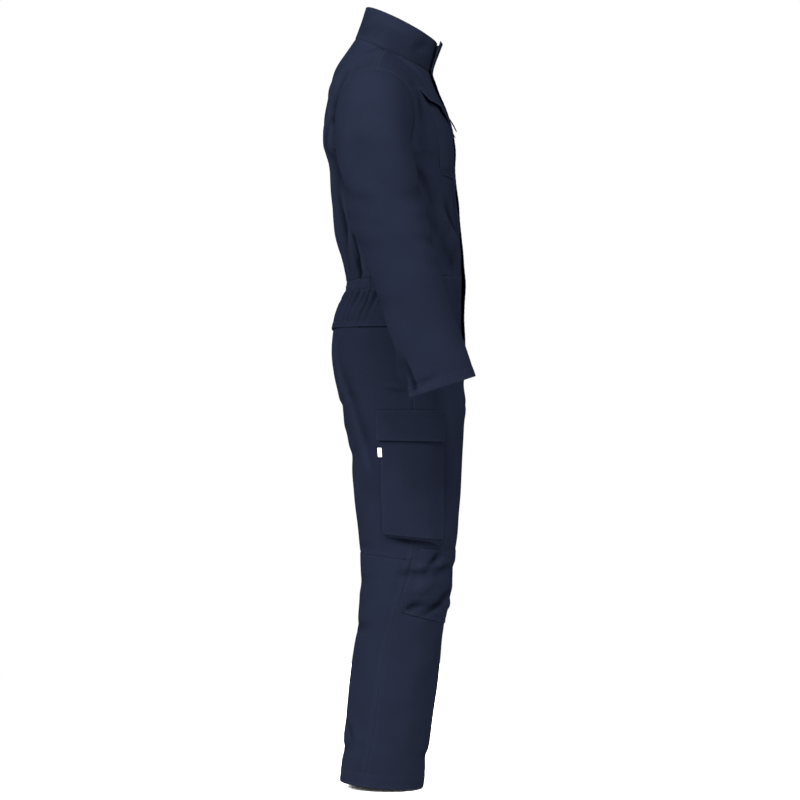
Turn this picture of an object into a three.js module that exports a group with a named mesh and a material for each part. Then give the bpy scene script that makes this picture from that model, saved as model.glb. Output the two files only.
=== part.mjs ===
// A boiler suit in its worn shape, hollow, with a stand collar, set-in sleeves, a covered front zip,
// an elastic back waist with a flap over the seat, cargo pockets and knee pockets.
// Millimetres, +Z up. The front faces -Y, and the wearer's right arm is at -X.
// The origin lies on the centre plane, level with the root of the neck, where the shoulders carry it.
// The half at +X is worked out and mirrored. "Forward" is the distance in front of the origin, -Y.
import * as THREE from "three";

// Walls and gaps
const CLOTH = 1.5; // one layer of cloth
const DOUBLE_CLOTH = 2.4; // a folded or lined piece
const SEAM_GAP = 0.4; // between two pieces that are sewn together
const ON_TOP = 0.6; // between a panel and a piece that is sewn on it

const NAVY = 0x262c40;
const DARK_NAVY = 0x1b2030;
const WHITE = 0xd8d8d6;

// Lines of the grids that the panels are built on, for half the body
const ARC_STEPS = 20;
const FRONT_COLUMNS = 10;
const BACK_COLUMNS = 12;
const SHOULDER_COLUMNS = 6;
const ARMHOLE_ROWS = 8;
const SLEEVE_ROWS = 14;
const COLLAR_ROWS = 3;

// Heights
const ARMPIT_Z = -234;
const WAIST_Z = -460;
const CASING_END_Z = -480;
const FLAP_HEM_Z = -556;
const RISE_Z = -610; // where the zip ends, and the centre seams leave the outline and turn under
const CROTCH = { z: -712, forward: -8 };
const KNEE_Z = -1000;
const HEM_Z = -1438;
const BODICE_ROWS = [-234, -268, -304, -340, -378, -418, WAIST_Z];
const HIP_ROWS = [WAIST_Z, CASING_END_Z, -502, -528, FLAP_HEM_Z, -583, RISE_Z, -649, -682, -703, CROTCH.z];
const THIGH_ROWS = [-735, -774, -820, -870, -920, -966, KNEE_Z];
const CALF_ROWS = [-1044, -1090, -1132, -1180, -1240, -1310, -1376, HEM_Z];

// Sections of body and leg. front, back and half are the outline before, behind and at the side.
// The crowns are how far from the centre it is deepest, widest is how far forward it is widest,
// and seam is how far forward the side seam lies.
const SECTIONS = [
  { z: -234, front: 103, back: 142, half: 218, frontCrown: 25, backCrown: 90, widest: -47, seam: -47 },
  { z: -316, front: 110, back: 132, half: 212, frontCrown: 28, backCrown: 80, widest: -27, seam: -24 },
  { z: -396, front: 117, back: 118, half: 202, frontCrown: 30, backCrown: 70, widest: -8, seam: -5 },
  { z: -460, front: 122, back: 101, half: 195, frontCrown: 30, backCrown: 60, widest: 2, seam: 5 },
  { z: -482, front: 122, back: 104, half: 197, frontCrown: 32, backCrown: 60, widest: 3, seam: 8 },
  { z: -516, front: 121, back: 121, half: 202, frontCrown: 36, backCrown: 65, widest: 4, seam: 11 },
  { z: -556, front: 120, back: 130, half: 209, frontCrown: 42, backCrown: 70, widest: 5, seam: 14 },
  { z: -616, front: 124, back: 131, half: 215, frontCrown: 66, backCrown: 84, widest: 8, seam: 20 },
  { z: -696, front: 127, back: 117, half: 219, frontCrown: 100, backCrown: 105, widest: 10, seam: 24 },
  { z: -735, front: 125, back: 109, half: 219, frontCrown: 110, backCrown: 110, widest: 12, seam: 25 },
  { z: -813, front: 121, back: 96, half: 216, frontCrown: 114, backCrown: 114, widest: 13, seam: 26 },
  { z: -891, front: 116, back: 88, half: 212, frontCrown: 116, backCrown: 116, widest: 14, seam: 26 },
  { z: -969, front: 108, back: 80, half: 208, frontCrown: 118, backCrown: 118, widest: 14, seam: 26 },
  { z: -1047, front: 99, back: 77, half: 204, frontCrown: 119, backCrown: 119, widest: 11, seam: 8 },
  { z: -1125, front: 84, back: 82, half: 200, frontCrown: 120, backCrown: 120, widest: 1, seam: -15 },
  { z: -1202, front: 73, back: 90, half: 197, frontCrown: 122, backCrown: 122, widest: -9, seam: -34 },
  { z: -1319, front: 60, back: 103, half: 191, frontCrown: 123, backCrown: 123, widest: -21, seam: -50 },
  { z: -1438, front: 46, back: 116, half: 186, frontCrown: 124, backCrown: 124, widest: -34, seam: -72 },
];

// The inner edge of each section: half the zip's gap, then the centre seams, then the inseam.
// tilt is how much lower a section lies for each mm forward.
const INNER_EDGE = [
  { z: -234, x: 3.5, forward: 0, tilt: 0 },
  { z: -378, x: 3.5, forward: 0, tilt: 0 },
  { z: -470, x: 3.5, forward: 0, tilt: -0.04 },
  { z: -556, x: 3.5, forward: 0, tilt: 0 },
  { z: -610, x: 3.5, forward: 0, tilt: 0 },
  { z: -649, x: 0, forward: -8, tilt: 0 },
  { z: -712, x: 0, forward: -8, tilt: 0 },
  { z: -735, x: 4, forward: -3, tilt: 0.01 },
  { z: -813, x: 14, forward: 6, tilt: 0.04 },
  { z: -891, x: 22, forward: 11, tilt: 0.08 },
  { z: -969, x: 30, forward: 13, tilt: 0.11 },
  { z: -1047, x: 37, forward: 10, tilt: 0.12 },
  { z: -1202, x: 49, forward: -9, tilt: 0.085 },
  { z: -1438, x: 63, forward: -34, tilt: 0.075 },
];

// How full the corners of a section are, as the power of its sine and cosine: 1 is an ellipse
const FULLNESS = [
  { z: -234, front: 0.92, back: 0.76 },
  { z: -460, front: 0.92, back: 0.8 },
  { z: -712, front: 0.95, back: 0.94 },
  { z: -1438, front: 0.96, back: 0.94 },
];

// Centre front and centre back above the armpits
const CENTRE_FRONT = [
  { z: -46, forward: 61 },
  { z: -84, forward: 70 },
  { z: -116, forward: 83 },
  { z: -156, forward: 95 },
  { z: -196, forward: 101 },
  { z: -234, forward: 103 },
];
const CENTRE_BACK = [
  { z: 24, forward: -90 },
  { z: -10, forward: -112 },
  { z: -40, forward: -128 },
  { z: -76, forward: -135 },
  { z: -116, forward: -140.5 },
  { z: -156, forward: -144.5 },
  { z: -196, forward: -144 },
  { z: -234, forward: -142 },
];

// Rings of the sleeve. at is the way down the arm, over and under are the points over and under
// it, mid and deep the middle and half depth from front to back, tilt lifts the front edge, and bow
// draws the front and back of a ring in towards the chest.
const SLEEVE_RINGS = [
  { at: 0, overX: 228, overZ: -72, underX: 218, underZ: -234, mid: -47, deep: 76, tilt: 0, bow: 31 },
  { at: 25, overX: 254, overZ: -83, underX: 221.5, underZ: -242, mid: -47.5, deep: 75, tilt: 0.02, bow: 24 },
  { at: 60, overX: 282, overZ: -110, underX: 225, underZ: -252, mid: -48, deep: 73.5, tilt: 0.05, bow: 14 },
  { at: 100, overX: 305, overZ: -153, underX: 228, underZ: -266, mid: -48.5, deep: 71, tilt: 0.08, bow: 6 },
  { at: 145, overX: 320, overZ: -205, underX: 230, underZ: -286, mid: -45, deep: 69, tilt: 0.12, bow: 2 },
  { at: 195, overX: 328, overZ: -262, underX: 231.5, underZ: -312, mid: -36.5, deep: 69.5, tilt: 0.16, bow: 0 },
  { at: 250, overX: 333, overZ: -325, underX: 232.5, underZ: -350, mid: -27, deep: 70, tilt: 0.2, bow: 0 },
  { at: 312, overX: 337, overZ: -392, underX: 236, underZ: -402, mid: -8, deep: 65, tilt: 0.26, bow: 0 },
  { at: 382, overX: 340, overZ: -462, underX: 243, underZ: -464, mid: 12.5, deep: 61, tilt: 0.31, bow: 0 },
  { at: 455, overX: 341, overZ: -532, underX: 250, underZ: -532, mid: 33, deep: 59, tilt: 0.33, bow: 0 },
  { at: 530, overX: 341, overZ: -604, underX: 254, underZ: -604, mid: 59.5, deep: 58, tilt: 0.34, bow: 0 },
  { at: 602, overX: 340, overZ: -671, underX: 256, underZ: -671, mid: 81, deep: 60, tilt: 0.33, bow: 0 },
];
const SLEEVE_LENGTH = 602;
const SLEEVE_FULLNESS = 0.88;
const ARMHOLE_SMOOTHING = 2;
const CLOSE_RINGS = 1.35; // above 1, the first rings of a sleeve lie closer together than the last

// Neck seam, shoulder seam and collar
const NECK = { half: 74, middle: -28, toFront: 89, toBack: 62, sideZ: -10, frontDrop: 36, backRise: 34 };
const COLLAR_TOP = { half: 65, middle: 3.5, reach: 71.5, backZ: 88, fall: 0.503 };
const COLLAR_BULGE = 3;
const SHOULDER_BULGE = 5;

// The largest folds, as soft ridges (height above 0) and troughs between two points of the half body
const FOLDS = [
  { from: [98, 74, -36], to: [116, 118, -88], width: 34, height: 16 }, // behind, between neck and shoulder
  { from: [100, -16, -50], to: [102, -82, -165], width: 30, height: 7 }, // below the collar bone
  { from: [184, 132, -110], to: [128, 118, -436], width: 13, height: -7 }, // back pleat
  { from: [196, -52, -262], to: [112, -112, -420], width: 17, height: -6 }, // armpit to front waist
  { from: [180, -72, -262], to: [84, -118, -412], width: 15, height: 5 }, // beside it
  { from: [150, 118, -650], to: [206, 56, -848], width: 16, height: 4 }, // seat to outer thigh
  { from: [196, -32, -1020], to: [120, -106, -1010], width: 14, height: -4 }, // across the knee
  { from: [190, -20, -1092], to: [112, -98, -1052], width: 15, height: -6 }, // under the knee
];
const GATHER = { height: 2.6, z: -472, reach: 40 }; // waves of the elastic waist, and how soon they fade

// Front closure: a covering placket sewn to the wearer's left front, and the zip under it
// lifts run from its free edge to its sewn edge, and flare is how far its top stands off
const PLACKET = { sewnX: 27, freeX: 22, lifts: [5, 1.5, 0, 0], flare: 7, flareRows: 2 };
const ZIP_WALL = 2.4;

// Pieces on the panels. from and to are distances from the centre plane on the front, and distances
// forward on the side of the leg, or span counts the panel's columns. lift is how far the piece
// stands off the panel at its lower edge. slant is how much lower its top and its bottom are where
// it starts than where it ends, in the panel's rows.
const CHEST_POCKET = {
  from: 46, to: 148, top: -128, bottom: -262, slant: [1.2, 0], columns: 8, off: 1.7, lift: 1,
};
const CHEST_FLAP = {
  from: 43, to: 151, top: -92, bottom: -134, slant: [1, 1.6], columns: 8, off: 1.7, lift: 5,
};
const HIP_WELT = { from: 30, to: -12, top: -530, bottom: -664, off: ON_TOP, lift: 0 };
const CARGO_POCKET = { from: 78, to: -33, top: -766, bottom: -955, lift: 10, backLift: 6, slope: 9 };
const CARGO_FLAP = { from: 81, to: -44, top: -715, bottom: -773, off: ON_TOP, lift: 5.5 };
const KNEE_POCKET = { span: [2.4, 9.85], top: -984, bottom: -1122, slant: [0, 0.7], off: 1, lift: 0 };
const SEAT_FLAP = { lift: 4.5, edge: 1.4 }; // edge counts the panel's columns behind the side seam
const LABEL = { from: -33.8, to: -42.8, top: -786.5, bottom: -804, wall: 1, lift: 5.4, backLift: 2.4 };

const CLOSEST_LINE = 0.15; // a panel's line this near a patch's edge, in columns, is left out of it
const SHARPEST_MITRE = 0.4;
const TINY = 1e-6;

const lerp = THREE.MathUtils.lerp;

// One point of a grid: where it lies, and the way out of the cloth there.
const cellAt = (x, forward, z) => ({
  point: new THREE.Vector3(x, -forward, z),
  normal: new THREE.Vector3(),
  gather: 0,
});
const between = (a, b, t) => ({
  point: a.point.clone().lerp(b.point, t),
  normal: a.normal.clone().lerp(b.normal, t).normalize(),
  gather: 0,
});

// The row of a table at a place along one of its columns, on a smooth curve through its rows.
function rowAt(table, column, place) {
  const last = table.length - 1;
  const down = table[last][column] < table[0][column];
  const passed = (row) => (down ? place >= row[column] : place <= row[column]);
  const found = table.findIndex((row, i) => i > 0 && passed(row));
  const next = found < 0 ? last : found;
  const pick = (i) => table[Math.min(last, Math.max(0, i))];
  const [before, start, end, after] = [pick(next - 2), pick(next - 1), pick(next), pick(next + 1)];
  const slope = (a, b, key) => (a === b ? 0 : (b[key] - a[key]) / (b[column] - a[column]));
  const span = end[column] - start[column];
  const t = THREE.MathUtils.clamp((place - start[column]) / span, 0, 1);
  const made = {};
  for (const key of Object.keys(start)) {
    const middle = slope(start, end, key);
    const leaving = before === start ? middle : (slope(before, start, key) + middle) / 2;
    const arriving = after === end ? middle : (middle + slope(end, after, key)) / 2;
    made[key] =
      (2 * t ** 3 - 3 * t ** 2 + 1) * start[key] +
      (t ** 3 - 2 * t ** 2 + t) * span * leaving +
      (3 * t ** 2 - 2 * t ** 3) * end[key] +
      (t ** 3 - t ** 2) * span * arriving;
  }
  return made;
}

// How far forward the centre seam lies on its way from the outline, under the body, to the crotch.
function underBody(z, outline) {
  const gone = THREE.MathUtils.clamp((RISE_Z - z) / (RISE_Z - CROTCH.z), 0, 1);
  return CROTCH.forward + (outline - CROTCH.forward) * Math.sqrt(1 - gone ** 2);
}

// Cells evenly spaced along a line of [x, forward] points, from its start to its end.
function spaced(line, steps, toCell) {
  const lengths = [0];
  line.slice(1).forEach(([x, forward], i) => {
    lengths.push(lengths[i] + Math.hypot(x - line[i][0], forward - line[i][1]));
  });
  return Array.from({ length: steps + 1 }, (_, step) => {
    const wanted = (lengths.at(-1) * step) / steps;
    const next = Math.max(1, lengths.findIndex((length) => length >= wanted - TINY));
    const t = (wanted - lengths[next - 1]) / (lengths[next] - lengths[next - 1]);
    return toCell(lerp(line[next - 1][0], line[next][0], t), lerp(line[next - 1][1], line[next][1], t));
  });
}

// Half a section: the front's cells from the inner edge to the side seam, and the back's from there.
const sections = new Map();
function halfSection(z) {
  if (sections.has(z)) return sections.get(z);
  const s = rowAt(SECTIONS, "z", z);
  const inner = rowAt(INNER_EDGE, "z", z);
  const full = rowAt(FULLNESS, "z", z);
  const aboveCrotch = z > CROTCH.z;
  const turns = Array.from({ length: ARC_STEPS + 1 }, (_, i) => ((i / ARC_STEPS) * Math.PI) / 2);
  // From the inner edge to the crown, and on to the side
  const halfLine = (innerX, innerForward, crown, outline, power) => [
    ...turns.map((a) => [lerp(innerX, crown, 1 - Math.cos(a)), lerp(innerForward, outline, Math.sin(a))]),
    ...turns.slice(1).map((a) => [
      lerp(crown, s.half, Math.sin(a) ** power),
      lerp(s.widest, outline, Math.max(0, Math.cos(a)) ** power),
    ]),
  ];
  const frontForward = aboveCrotch ? underBody(z, s.front) : inner.forward;
  const backForward = aboveCrotch ? underBody(z, -s.back) : inner.forward;
  const frontX = Math.max(0, inner.x);
  const backX = aboveCrotch ? 0 : frontX;
  const line = [
    ...halfLine(frontX, frontForward, s.frontCrown, s.front, full.front),
    ...halfLine(backX, backForward, s.backCrown, -s.back, full.back).reverse().slice(1),
  ];
  const outerStart = ARC_STEPS + 1;
  const cut = line.findIndex(([, forward], i) => i > outerStart && forward <= s.seam);
  const t = (s.seam - line[cut - 1][1]) / (line[cut][1] - line[cut - 1][1]);
  const seam = [lerp(line[cut - 1][0], line[cut][0], t), s.seam];
  const toCell = (x, forward) => cellAt(x, forward, z - inner.tilt * (forward - s.widest));
  const front = spaced([...line.slice(0, cut), seam], FRONT_COLUMNS, toCell);
  const back = spaced([seam, ...line.slice(cut)], BACK_COLUMNS, toCell);
  back[0] = front.at(-1);
  if (!aboveCrotch) back[BACK_COLUMNS] = front[0];
  back.slice(1, -1).forEach((cell, i) => {
    const near = (z - GATHER.z) / GATHER.reach;
    cell.gather = GATHER.height * (i % 2 ? -1 : 1) * Math.exp(-(near ** 2));
  });
  sections.set(z, { front, back });
  return sections.get(z);
}

// The sleeve's rings, the first one being the armhole. Each starts over the arm and runs backwards.
function sleeveRing(along) {
  const ring = rowAt(SLEEVE_RINGS, "at", along);
  const columns = 2 * ARMHOLE_ROWS;
  return Array.from({ length: columns }, (_, i) => {
    const turn = (-2 * Math.PI * i) / columns;
    const up = (1 + Math.cos(turn)) / 2;
    const out = Math.sign(Math.sin(turn)) * Math.abs(Math.sin(turn)) ** SLEEVE_FULLNESS * ring.deep;
    const x = lerp(ring.underX, ring.overX, up) - ring.bow * Math.sin(turn) ** 2;
    return cellAt(x, ring.mid + out, lerp(ring.underZ, ring.overZ, up) + ring.tilt * out);
  });
}
const sleeveGrid = Array.from({ length: SLEEVE_ROWS + 1 }, (_, row) =>
  sleeveRing(SLEEVE_LENGTH * (row / SLEEVE_ROWS) ** CLOSE_RINGS),
);
const armhole = sleeveGrid[0];
armhole[ARMHOLE_ROWS] = halfSection(ARMPIT_Z).back[0];
const frontArmhole = [armhole[0], ...armhole.slice(ARMHOLE_ROWS).reverse()];
const backArmhole = armhole.slice(0, ARMHOLE_ROWS + 1);

// The neck seam: turn 0 is at the front's edge, a quarter turn at the shoulder, a half at the back.
const frontTurn = Math.asin(INNER_EDGE[0].x / NECK.half);
function neckCell(turn) {
  const ahead = Math.cos(turn);
  const reach = ahead > 0 ? NECK.toFront : NECK.toBack;
  const climb = ahead > 0 ? NECK.frontDrop : NECK.backRise;
  return cellAt(NECK.half * Math.sin(turn), NECK.middle + reach * ahead, NECK.sideZ - climb * ahead);
}
function collarTopCell(turn) {
  const forward = COLLAR_TOP.middle + COLLAR_TOP.reach * Math.cos(turn);
  const z = COLLAR_TOP.backZ - COLLAR_TOP.fall * (forward + COLLAR_TOP.reach - COLLAR_TOP.middle);
  return cellAt(COLLAR_TOP.half * Math.sin(turn), forward, z);
}
const frontNeckColumns = FRONT_COLUMNS - SHOULDER_COLUMNS;
const backNeckColumns = BACK_COLUMNS - SHOULDER_COLUMNS;
const neckTurns = [
  ...Array.from({ length: frontNeckColumns }, (_, i) => lerp(frontTurn, Math.PI / 2, i / frontNeckColumns)),
  ...Array.from({ length: backNeckColumns + 1 }, (_, i) => lerp(Math.PI / 2, Math.PI, i / backNeckColumns)),
];
const neckline = neckTurns.map(neckCell);
neckline.at(-1).point.x = 0;

// The shoulder seam, from the neck to the armhole, a little arched.
const shoulderSeam = Array.from({ length: SHOULDER_COLUMNS - 1 }, (_, i) => {
  const t = (i + 1) / SHOULDER_COLUMNS;
  const cell = between(neckline[frontNeckColumns], armhole[0], t);
  cell.point.z += SHOULDER_BULGE * Math.sin(Math.PI * t);
  return cell;
});

// The rows above the armpit, between a top line, the centre, the armhole and the row at the armpit.
function upperRows(top, centreTable, centreX, side, bottom) {
  const columns = top.length - 1;
  const centreRow = (row) => {
    if (row === 0) return top[0];
    if (row === ARMHOLE_ROWS) return bottom[0];
    const topZ = centreTable[0].z;
    const z = lerp(topZ, ARMPIT_Z, row / ARMHOLE_ROWS);
    return cellAt(centreX, rowAt(centreTable, "z", z).forward, z);
  };
  return Array.from({ length: ARMHOLE_ROWS }, (_, row) => {
    const down = row / ARMHOLE_ROWS;
    const centre = centreRow(row);
    return top.map((cell, column) => {
      if (row === 0) return cell;
      if (column === 0) return centre;
      if (column === columns) return side[row];
      const out = column / columns;
      const place = new THREE.Vector3()
        .addScaledVector(cell.point, 1 - down)
        .addScaledVector(bottom[column].point, down)
        .addScaledVector(centre.point, 1 - out)
        .addScaledVector(side[row].point, out)
        .addScaledVector(top[0].point, -(1 - down) * (1 - out))
        .addScaledVector(top[columns].point, -(1 - down) * out)
        .addScaledVector(bottom[0].point, -down * (1 - out))
        .addScaledVector(bottom[columns].point, -down * out);
      return { point: place, normal: new THREE.Vector3(), gather: 0 };
    });
  });
}

// The panels of the half body, each with its rows downwards and its columns from front to back.
const frontTop = [...neckline.slice(0, frontNeckColumns + 1), ...shoulderSeam, armhole[0]];
const backTop = [...neckline.slice(frontNeckColumns).reverse(), ...shoulderSeam, armhole[0]];
const frontRows = (heights) => heights.map((z) => halfSection(z).front);
const backRows = (heights) => heights.map((z) => halfSection(z).back);
const armpitBack = [...halfSection(ARMPIT_Z).back].reverse();
const bodiceFront = [
  ...upperRows(frontTop, CENTRE_FRONT, INNER_EDGE[0].x, frontArmhole, halfSection(ARMPIT_Z).front),
  ...frontRows(BODICE_ROWS),
];
const bodiceBack = [
  ...upperRows(backTop, CENTRE_BACK, 0, backArmhole, armpitBack).map((row) => [...row].reverse()),
  ...backRows(BODICE_ROWS),
];
const collarGrid = Array.from({ length: COLLAR_ROWS + 1 }, (_, row) => {
  if (row === COLLAR_ROWS) return neckline;
  return neckTurns.map((turn, i) => {
    const t = row / COLLAR_ROWS;
    const cell = between(collarTopCell(turn), neckline[i], t);
    cell.point.x += COLLAR_BULGE * Math.sin(Math.PI * t) * Math.sin(turn);
    if (i === neckTurns.length - 1) cell.point.x = 0;
    return cell;
  });
});
const legFront = frontRows([...HIP_ROWS, ...THIGH_ROWS, ...CALF_ROWS]);
const thighBack = backRows([...HIP_ROWS, ...THIGH_ROWS]);
const calfBack = backRows([KNEE_Z, ...CALF_ROWS]);
const halfBody = [
  { grid: bodiceFront },
  { grid: bodiceBack },
  { grid: collarGrid },
  { grid: sleeveGrid, wrap: true },
  { grid: legFront },
  { grid: thighBack },
  { grid: calfBack },
];

// The way out at each cell is the sum over the faces round it, each by its angle there, in all the
// panels that meet there.
function findNormals() {
  halfBody.forEach(({ grid }) => grid.flat().forEach((cell) => cell.normal.set(0, 0, 0)));
  const face = (...corners) => {
    corners.forEach((cell, i) => {
      const ahead = corners[(i + 1) % 3].point.clone().sub(cell.point);
      const behind = corners[(i + 2) % 3].point.clone().sub(cell.point);
      const angle = ahead.angleTo(behind);
      cell.normal.addScaledVector(ahead.cross(behind).normalize(), angle);
    });
  };
  for (const { grid, wrap } of halfBody) {
    const columns = grid[0].length;
    for (let row = 0; row < grid.length - 1; row++) {
      for (let column = 0; column < (wrap ? columns : columns - 1); column++) {
        const next = (column + 1) % columns;
        face(grid[row][column], grid[row + 1][column], grid[row + 1][next]);
        face(grid[row][column], grid[row + 1][next], grid[row][next]);
      }
    }
  }
  for (const cell of new Set(halfBody.flatMap(({ grid }) => grid.flat()))) {
    if (Math.abs(cell.point.x) < TINY) cell.normal.x = 0;
    cell.normal.normalize();
  }
  // Round the armhole the way out turns smoothly, also where sleeve and body fold in to the armpit
  for (let round = 0; round < ARMHOLE_SMOOTHING; round++) {
    const before = armhole.map((cell) => cell.normal.clone());
    armhole.forEach((cell, i) => {
      cell.normal.add(before.at(i - 1)).add(before[(i + 1) % armhole.length]).normalize();
    });
  }
}

// How far the folds move a point of the cloth out.
function foldHeight(point) {
  return FOLDS.reduce((sum, fold) => {
    const line = new THREE.Line3(new THREE.Vector3(...fold.from), new THREE.Vector3(...fold.to));
    const nearest = line.closestPointToPoint(point, true, new THREE.Vector3());
    return sum + fold.height * Math.exp(-((nearest.distanceTo(point) / fold.width) ** 2));
  }, 0);
}
findNormals();
for (const cell of new Set(halfBody.flatMap(({ grid }) => grid.flat()))) {
  cell.point.addScaledVector(cell.normal, foldHeight(cell.point) + cell.gather);
}
findNormals();

// A cell's mirror image, and a half grid with its mirror image behind it.
const mirrorCell = (cell) => ({
  point: cell.point.clone().multiply(new THREE.Vector3(-1, 1, 1)),
  normal: cell.normal.clone().multiply(new THREE.Vector3(-1, 1, 1)),
});
const acrossBack = (grid) => grid.map((row) => [...row.slice(0, -1), ...[...row].reverse().map(mirrorCell)]);

// A grid's cell at whole or broken row and column numbers.
function sample(grid, row, column) {
  const r = THREE.MathUtils.clamp(Math.floor(row), 0, grid.length - 2);
  const c = THREE.MathUtils.clamp(Math.floor(column), 0, grid[0].length - 2);
  const upper = between(grid[r][c], grid[r][c + 1], column - c);
  const lower = between(grid[r + 1][c], grid[r + 1][c + 1], column - c);
  return between(upper, lower, row - r);
}

// The broken index at which a line of cells passes a value.
function indexAt(cells, measure, wanted) {
  const past = ({ point }) => measure(point) - wanted;
  const next = cells.findIndex((cell, i) => i > 0 && past(cells[i - 1]) * past(cell) <= 0);
  return next - 1 + past(cells[next - 1]) / (past(cells[next - 1]) - past(cells[next]));
}
const byX = (point) => point.x;
const byForward = (point) => -point.y;
const byZ = (point) => point.z;

// A four-sided patch of a grid, along the grid's own lines. With a number of columns it has straight
// sides instead, each row being cut where it passes them.
function patchOf(grid, measure, { from, to, span, top, bottom, slant = [0, 0], columns }) {
  const ends = (row) => span ?? [indexAt(row, measure, from), indexAt(row, measure, to)];
  const every = Array.from({ length: grid.length + grid[0].length }, (_, i) => i);
  const whole = (low, high) => every.filter((i) => i > low + CLOSEST_LINE && i < high - CLOSEST_LINE);
  const midColumn = grid.map((row) => row[Math.floor(row.length / 2)]);
  const middle = grid[Math.round(indexAt(midColumn, byZ, (top + bottom) / 2))];
  const [start, end] = ends(middle);
  const centre = Math.round((start + end) / 2);
  const down = grid.map((row) => row[centre]);
  const [first, last] = [indexAt(down, byZ, top), indexAt(down, byZ, bottom)];
  const rows = [first, ...whole(first, last), last];
  return rows.map((r, i) => {
    const row = columns ? grid[0].map((_, c) => sample(grid, r, c)) : middle;
    const [left, right] = ends(row);
    const places = columns
      ? Array.from({ length: columns + 1 }, (_, column) => lerp(left, right, column / columns))
      : [left, ...whole(left, right), right];
    const lower = lerp(slant[0], slant[1], i / (rows.length - 1));
    return places.map((c) => sample(grid, r + lower * (0.5 - (c - left) / (right - left)), c));
  });
}

// A patch with one more line near each edge, a given distance inside it.
function withMargin(patch, margin) {
  const addEnds = (list, measureOf, blend) => {
    const first = Math.min(0.5, margin / measureOf(list[0], list[1]));
    const last = Math.min(0.5, margin / measureOf(list.at(-1), list.at(-2)));
    const start = [list[0], blend(list[0], list[1], first)];
    const end = [blend(list.at(-1), list.at(-2), last), list.at(-1)];
    return [...start, ...list.slice(1, -1), ...end];
  };
  const gap = (a, b) => a.point.distanceTo(b.point);
  const wide = patch.map((row) => addEnds(row, gap, between));
  const middle = Math.floor(wide[0].length / 2);
  const rowGap = (a, b) => gap(a[middle], b[middle]);
  return addEnds(wide, rowGap, (a, b, t) => a.map((cell, i) => between(cell, b[i], t)));
}

// A patch moved out, by a distance that may depend on how far across and down it a cell lies.
function raised(patch, liftAt) {
  const rows = patch.length - 1;
  const columns = patch[0].length - 1;
  return patch.map((row, r) =>
    row.map((cell, c) => ({
      point: cell.point.clone().addScaledVector(cell.normal, liftAt(c / columns, r / rows, c, r)),
      normal: cell.normal,
    })),
  );
}

// A cell of a grid's edge stands back from it by half the gap of a seam, along the cloth, with a
// mitre where the edge turns.
function setBack(grid, row, column, wrap) {
  const { point, normal } = grid[row][column];
  const columns = grid[row].length;
  const lastRow = grid.length - 1;
  const inward = [];
  const edge = (from, to, sign) => {
    const [start, end] = [from, to].map(([r, c]) => grid[r]?.[wrap ? (c + columns) % columns : c]?.point);
    if (!start || !end) return;
    inward.push(normal.clone().cross(end.clone().sub(start)).normalize().multiplyScalar(sign));
  };
  const edges = (rowStep, columnStep, sign) => {
    edge([row - rowStep, column - columnStep], [row, column], sign);
    edge([row, column], [row + rowStep, column + columnStep], sign);
  };
  if (row === 0) edges(0, 1, -1);
  if (row === lastRow) edges(0, 1, 1);
  if (!wrap && column === 0) edges(1, 0, 1);
  if (!wrap && column === columns - 1) edges(1, 0, -1);
  if (!inward.length) return point.clone();
  const [a, b] = inward;
  const mitre = a.clone().add(b).divideScalar(Math.max(SHARPEST_MITRE, 1 + a.dot(b)));
  return point.clone().addScaledVector(mitre, SEAM_GAP / 2);
}

// A closed wall: its outer side lies on the cells, and its inner side a wall's thickness behind.
// The faces of the columns from turnFrom on are split the other way, as in a mirror image.
function wallGeometry(grid, { wall, wrap, turnFrom }) {
  const rows = grid.length;
  const columns = grid[0].length;
  const outer = grid.flatMap((row, r) => row.map((_, c) => setBack(grid, r, c, wrap)));
  const inner = outer.map((point, i) => point.clone().addScaledVector(grid.flat()[i].normal, -wall));
  const index = (r, c) => r * columns + (c % columns);
  const behind = (i) => i + rows * columns;
  const faces = [];
  const quad = (a, b, c, d) => faces.push(a, b, c, a, c, d);
  const lastColumn = wrap ? columns : columns - 1;
  for (let r = 0; r < rows - 1; r++) {
    for (let c = 0; c < lastColumn; c++) {
      const turned = (p, q, s, t) => (c >= turnFrom ? quad(q, s, t, p) : quad(p, q, s, t));
      const [a, b, e, d] = [index(r, c), index(r + 1, c), index(r + 1, c + 1), index(r, c + 1)];
      turned(a, b, e, d);
      turned(behind(a), behind(d), behind(e), behind(b));
      if (r === 0) turned(a, d, behind(d), behind(a));
      if (r === rows - 2) turned(b, behind(b), behind(e), e);
      if (!wrap && c === 0) quad(a, behind(a), behind(b), b);
      if (!wrap && c === lastColumn - 1) quad(d, e, behind(e), behind(d));
    }
  }
  const geometry = new THREE.BufferGeometry();
  const numbers = [...outer, ...inner].flatMap((point) => point.toArray());
  geometry.setAttribute("position", new THREE.Float32BufferAttribute(numbers, 3));
  geometry.setIndex(faces);
  geometry.computeVertexNormals();
  return geometry;
}

// The mirror image of a closed surface, its faces turned round so that they still point out.
function mirrorGeometry(geometry) {
  const image = geometry.clone().scale(-1, 1, 1);
  image.setIndex([...geometry.index.array].reverse());
  image.computeVertexNormals();
  return image;
}

const suit = new THREE.Group();
function addMesh(name, geometry, color) {
  const material = new THREE.MeshStandardMaterial({ color, roughness: 0.9, metalness: 0 });
  const mesh = new THREE.Mesh(geometry, material);
  mesh.name = name;
  suit.add(mesh);
}
const plain = { wall: CLOTH, wrap: false, turnFrom: Infinity, color: NAVY };
function addCloth(name, grid, options = {}) {
  const how = { ...plain, ...options };
  addMesh(name, wallGeometry(grid, how), how.color);
}
// A piece on the wearer's left, and its mirror image on the right
function addPair(name, grid, options = {}) {
  const how = { ...plain, ...options };
  const geometry = wallGeometry(grid, how);
  addMesh(`${name}_left`, geometry, how.color);
  addMesh(`${name}_right`, mirrorGeometry(geometry), how.color);
}
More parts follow.
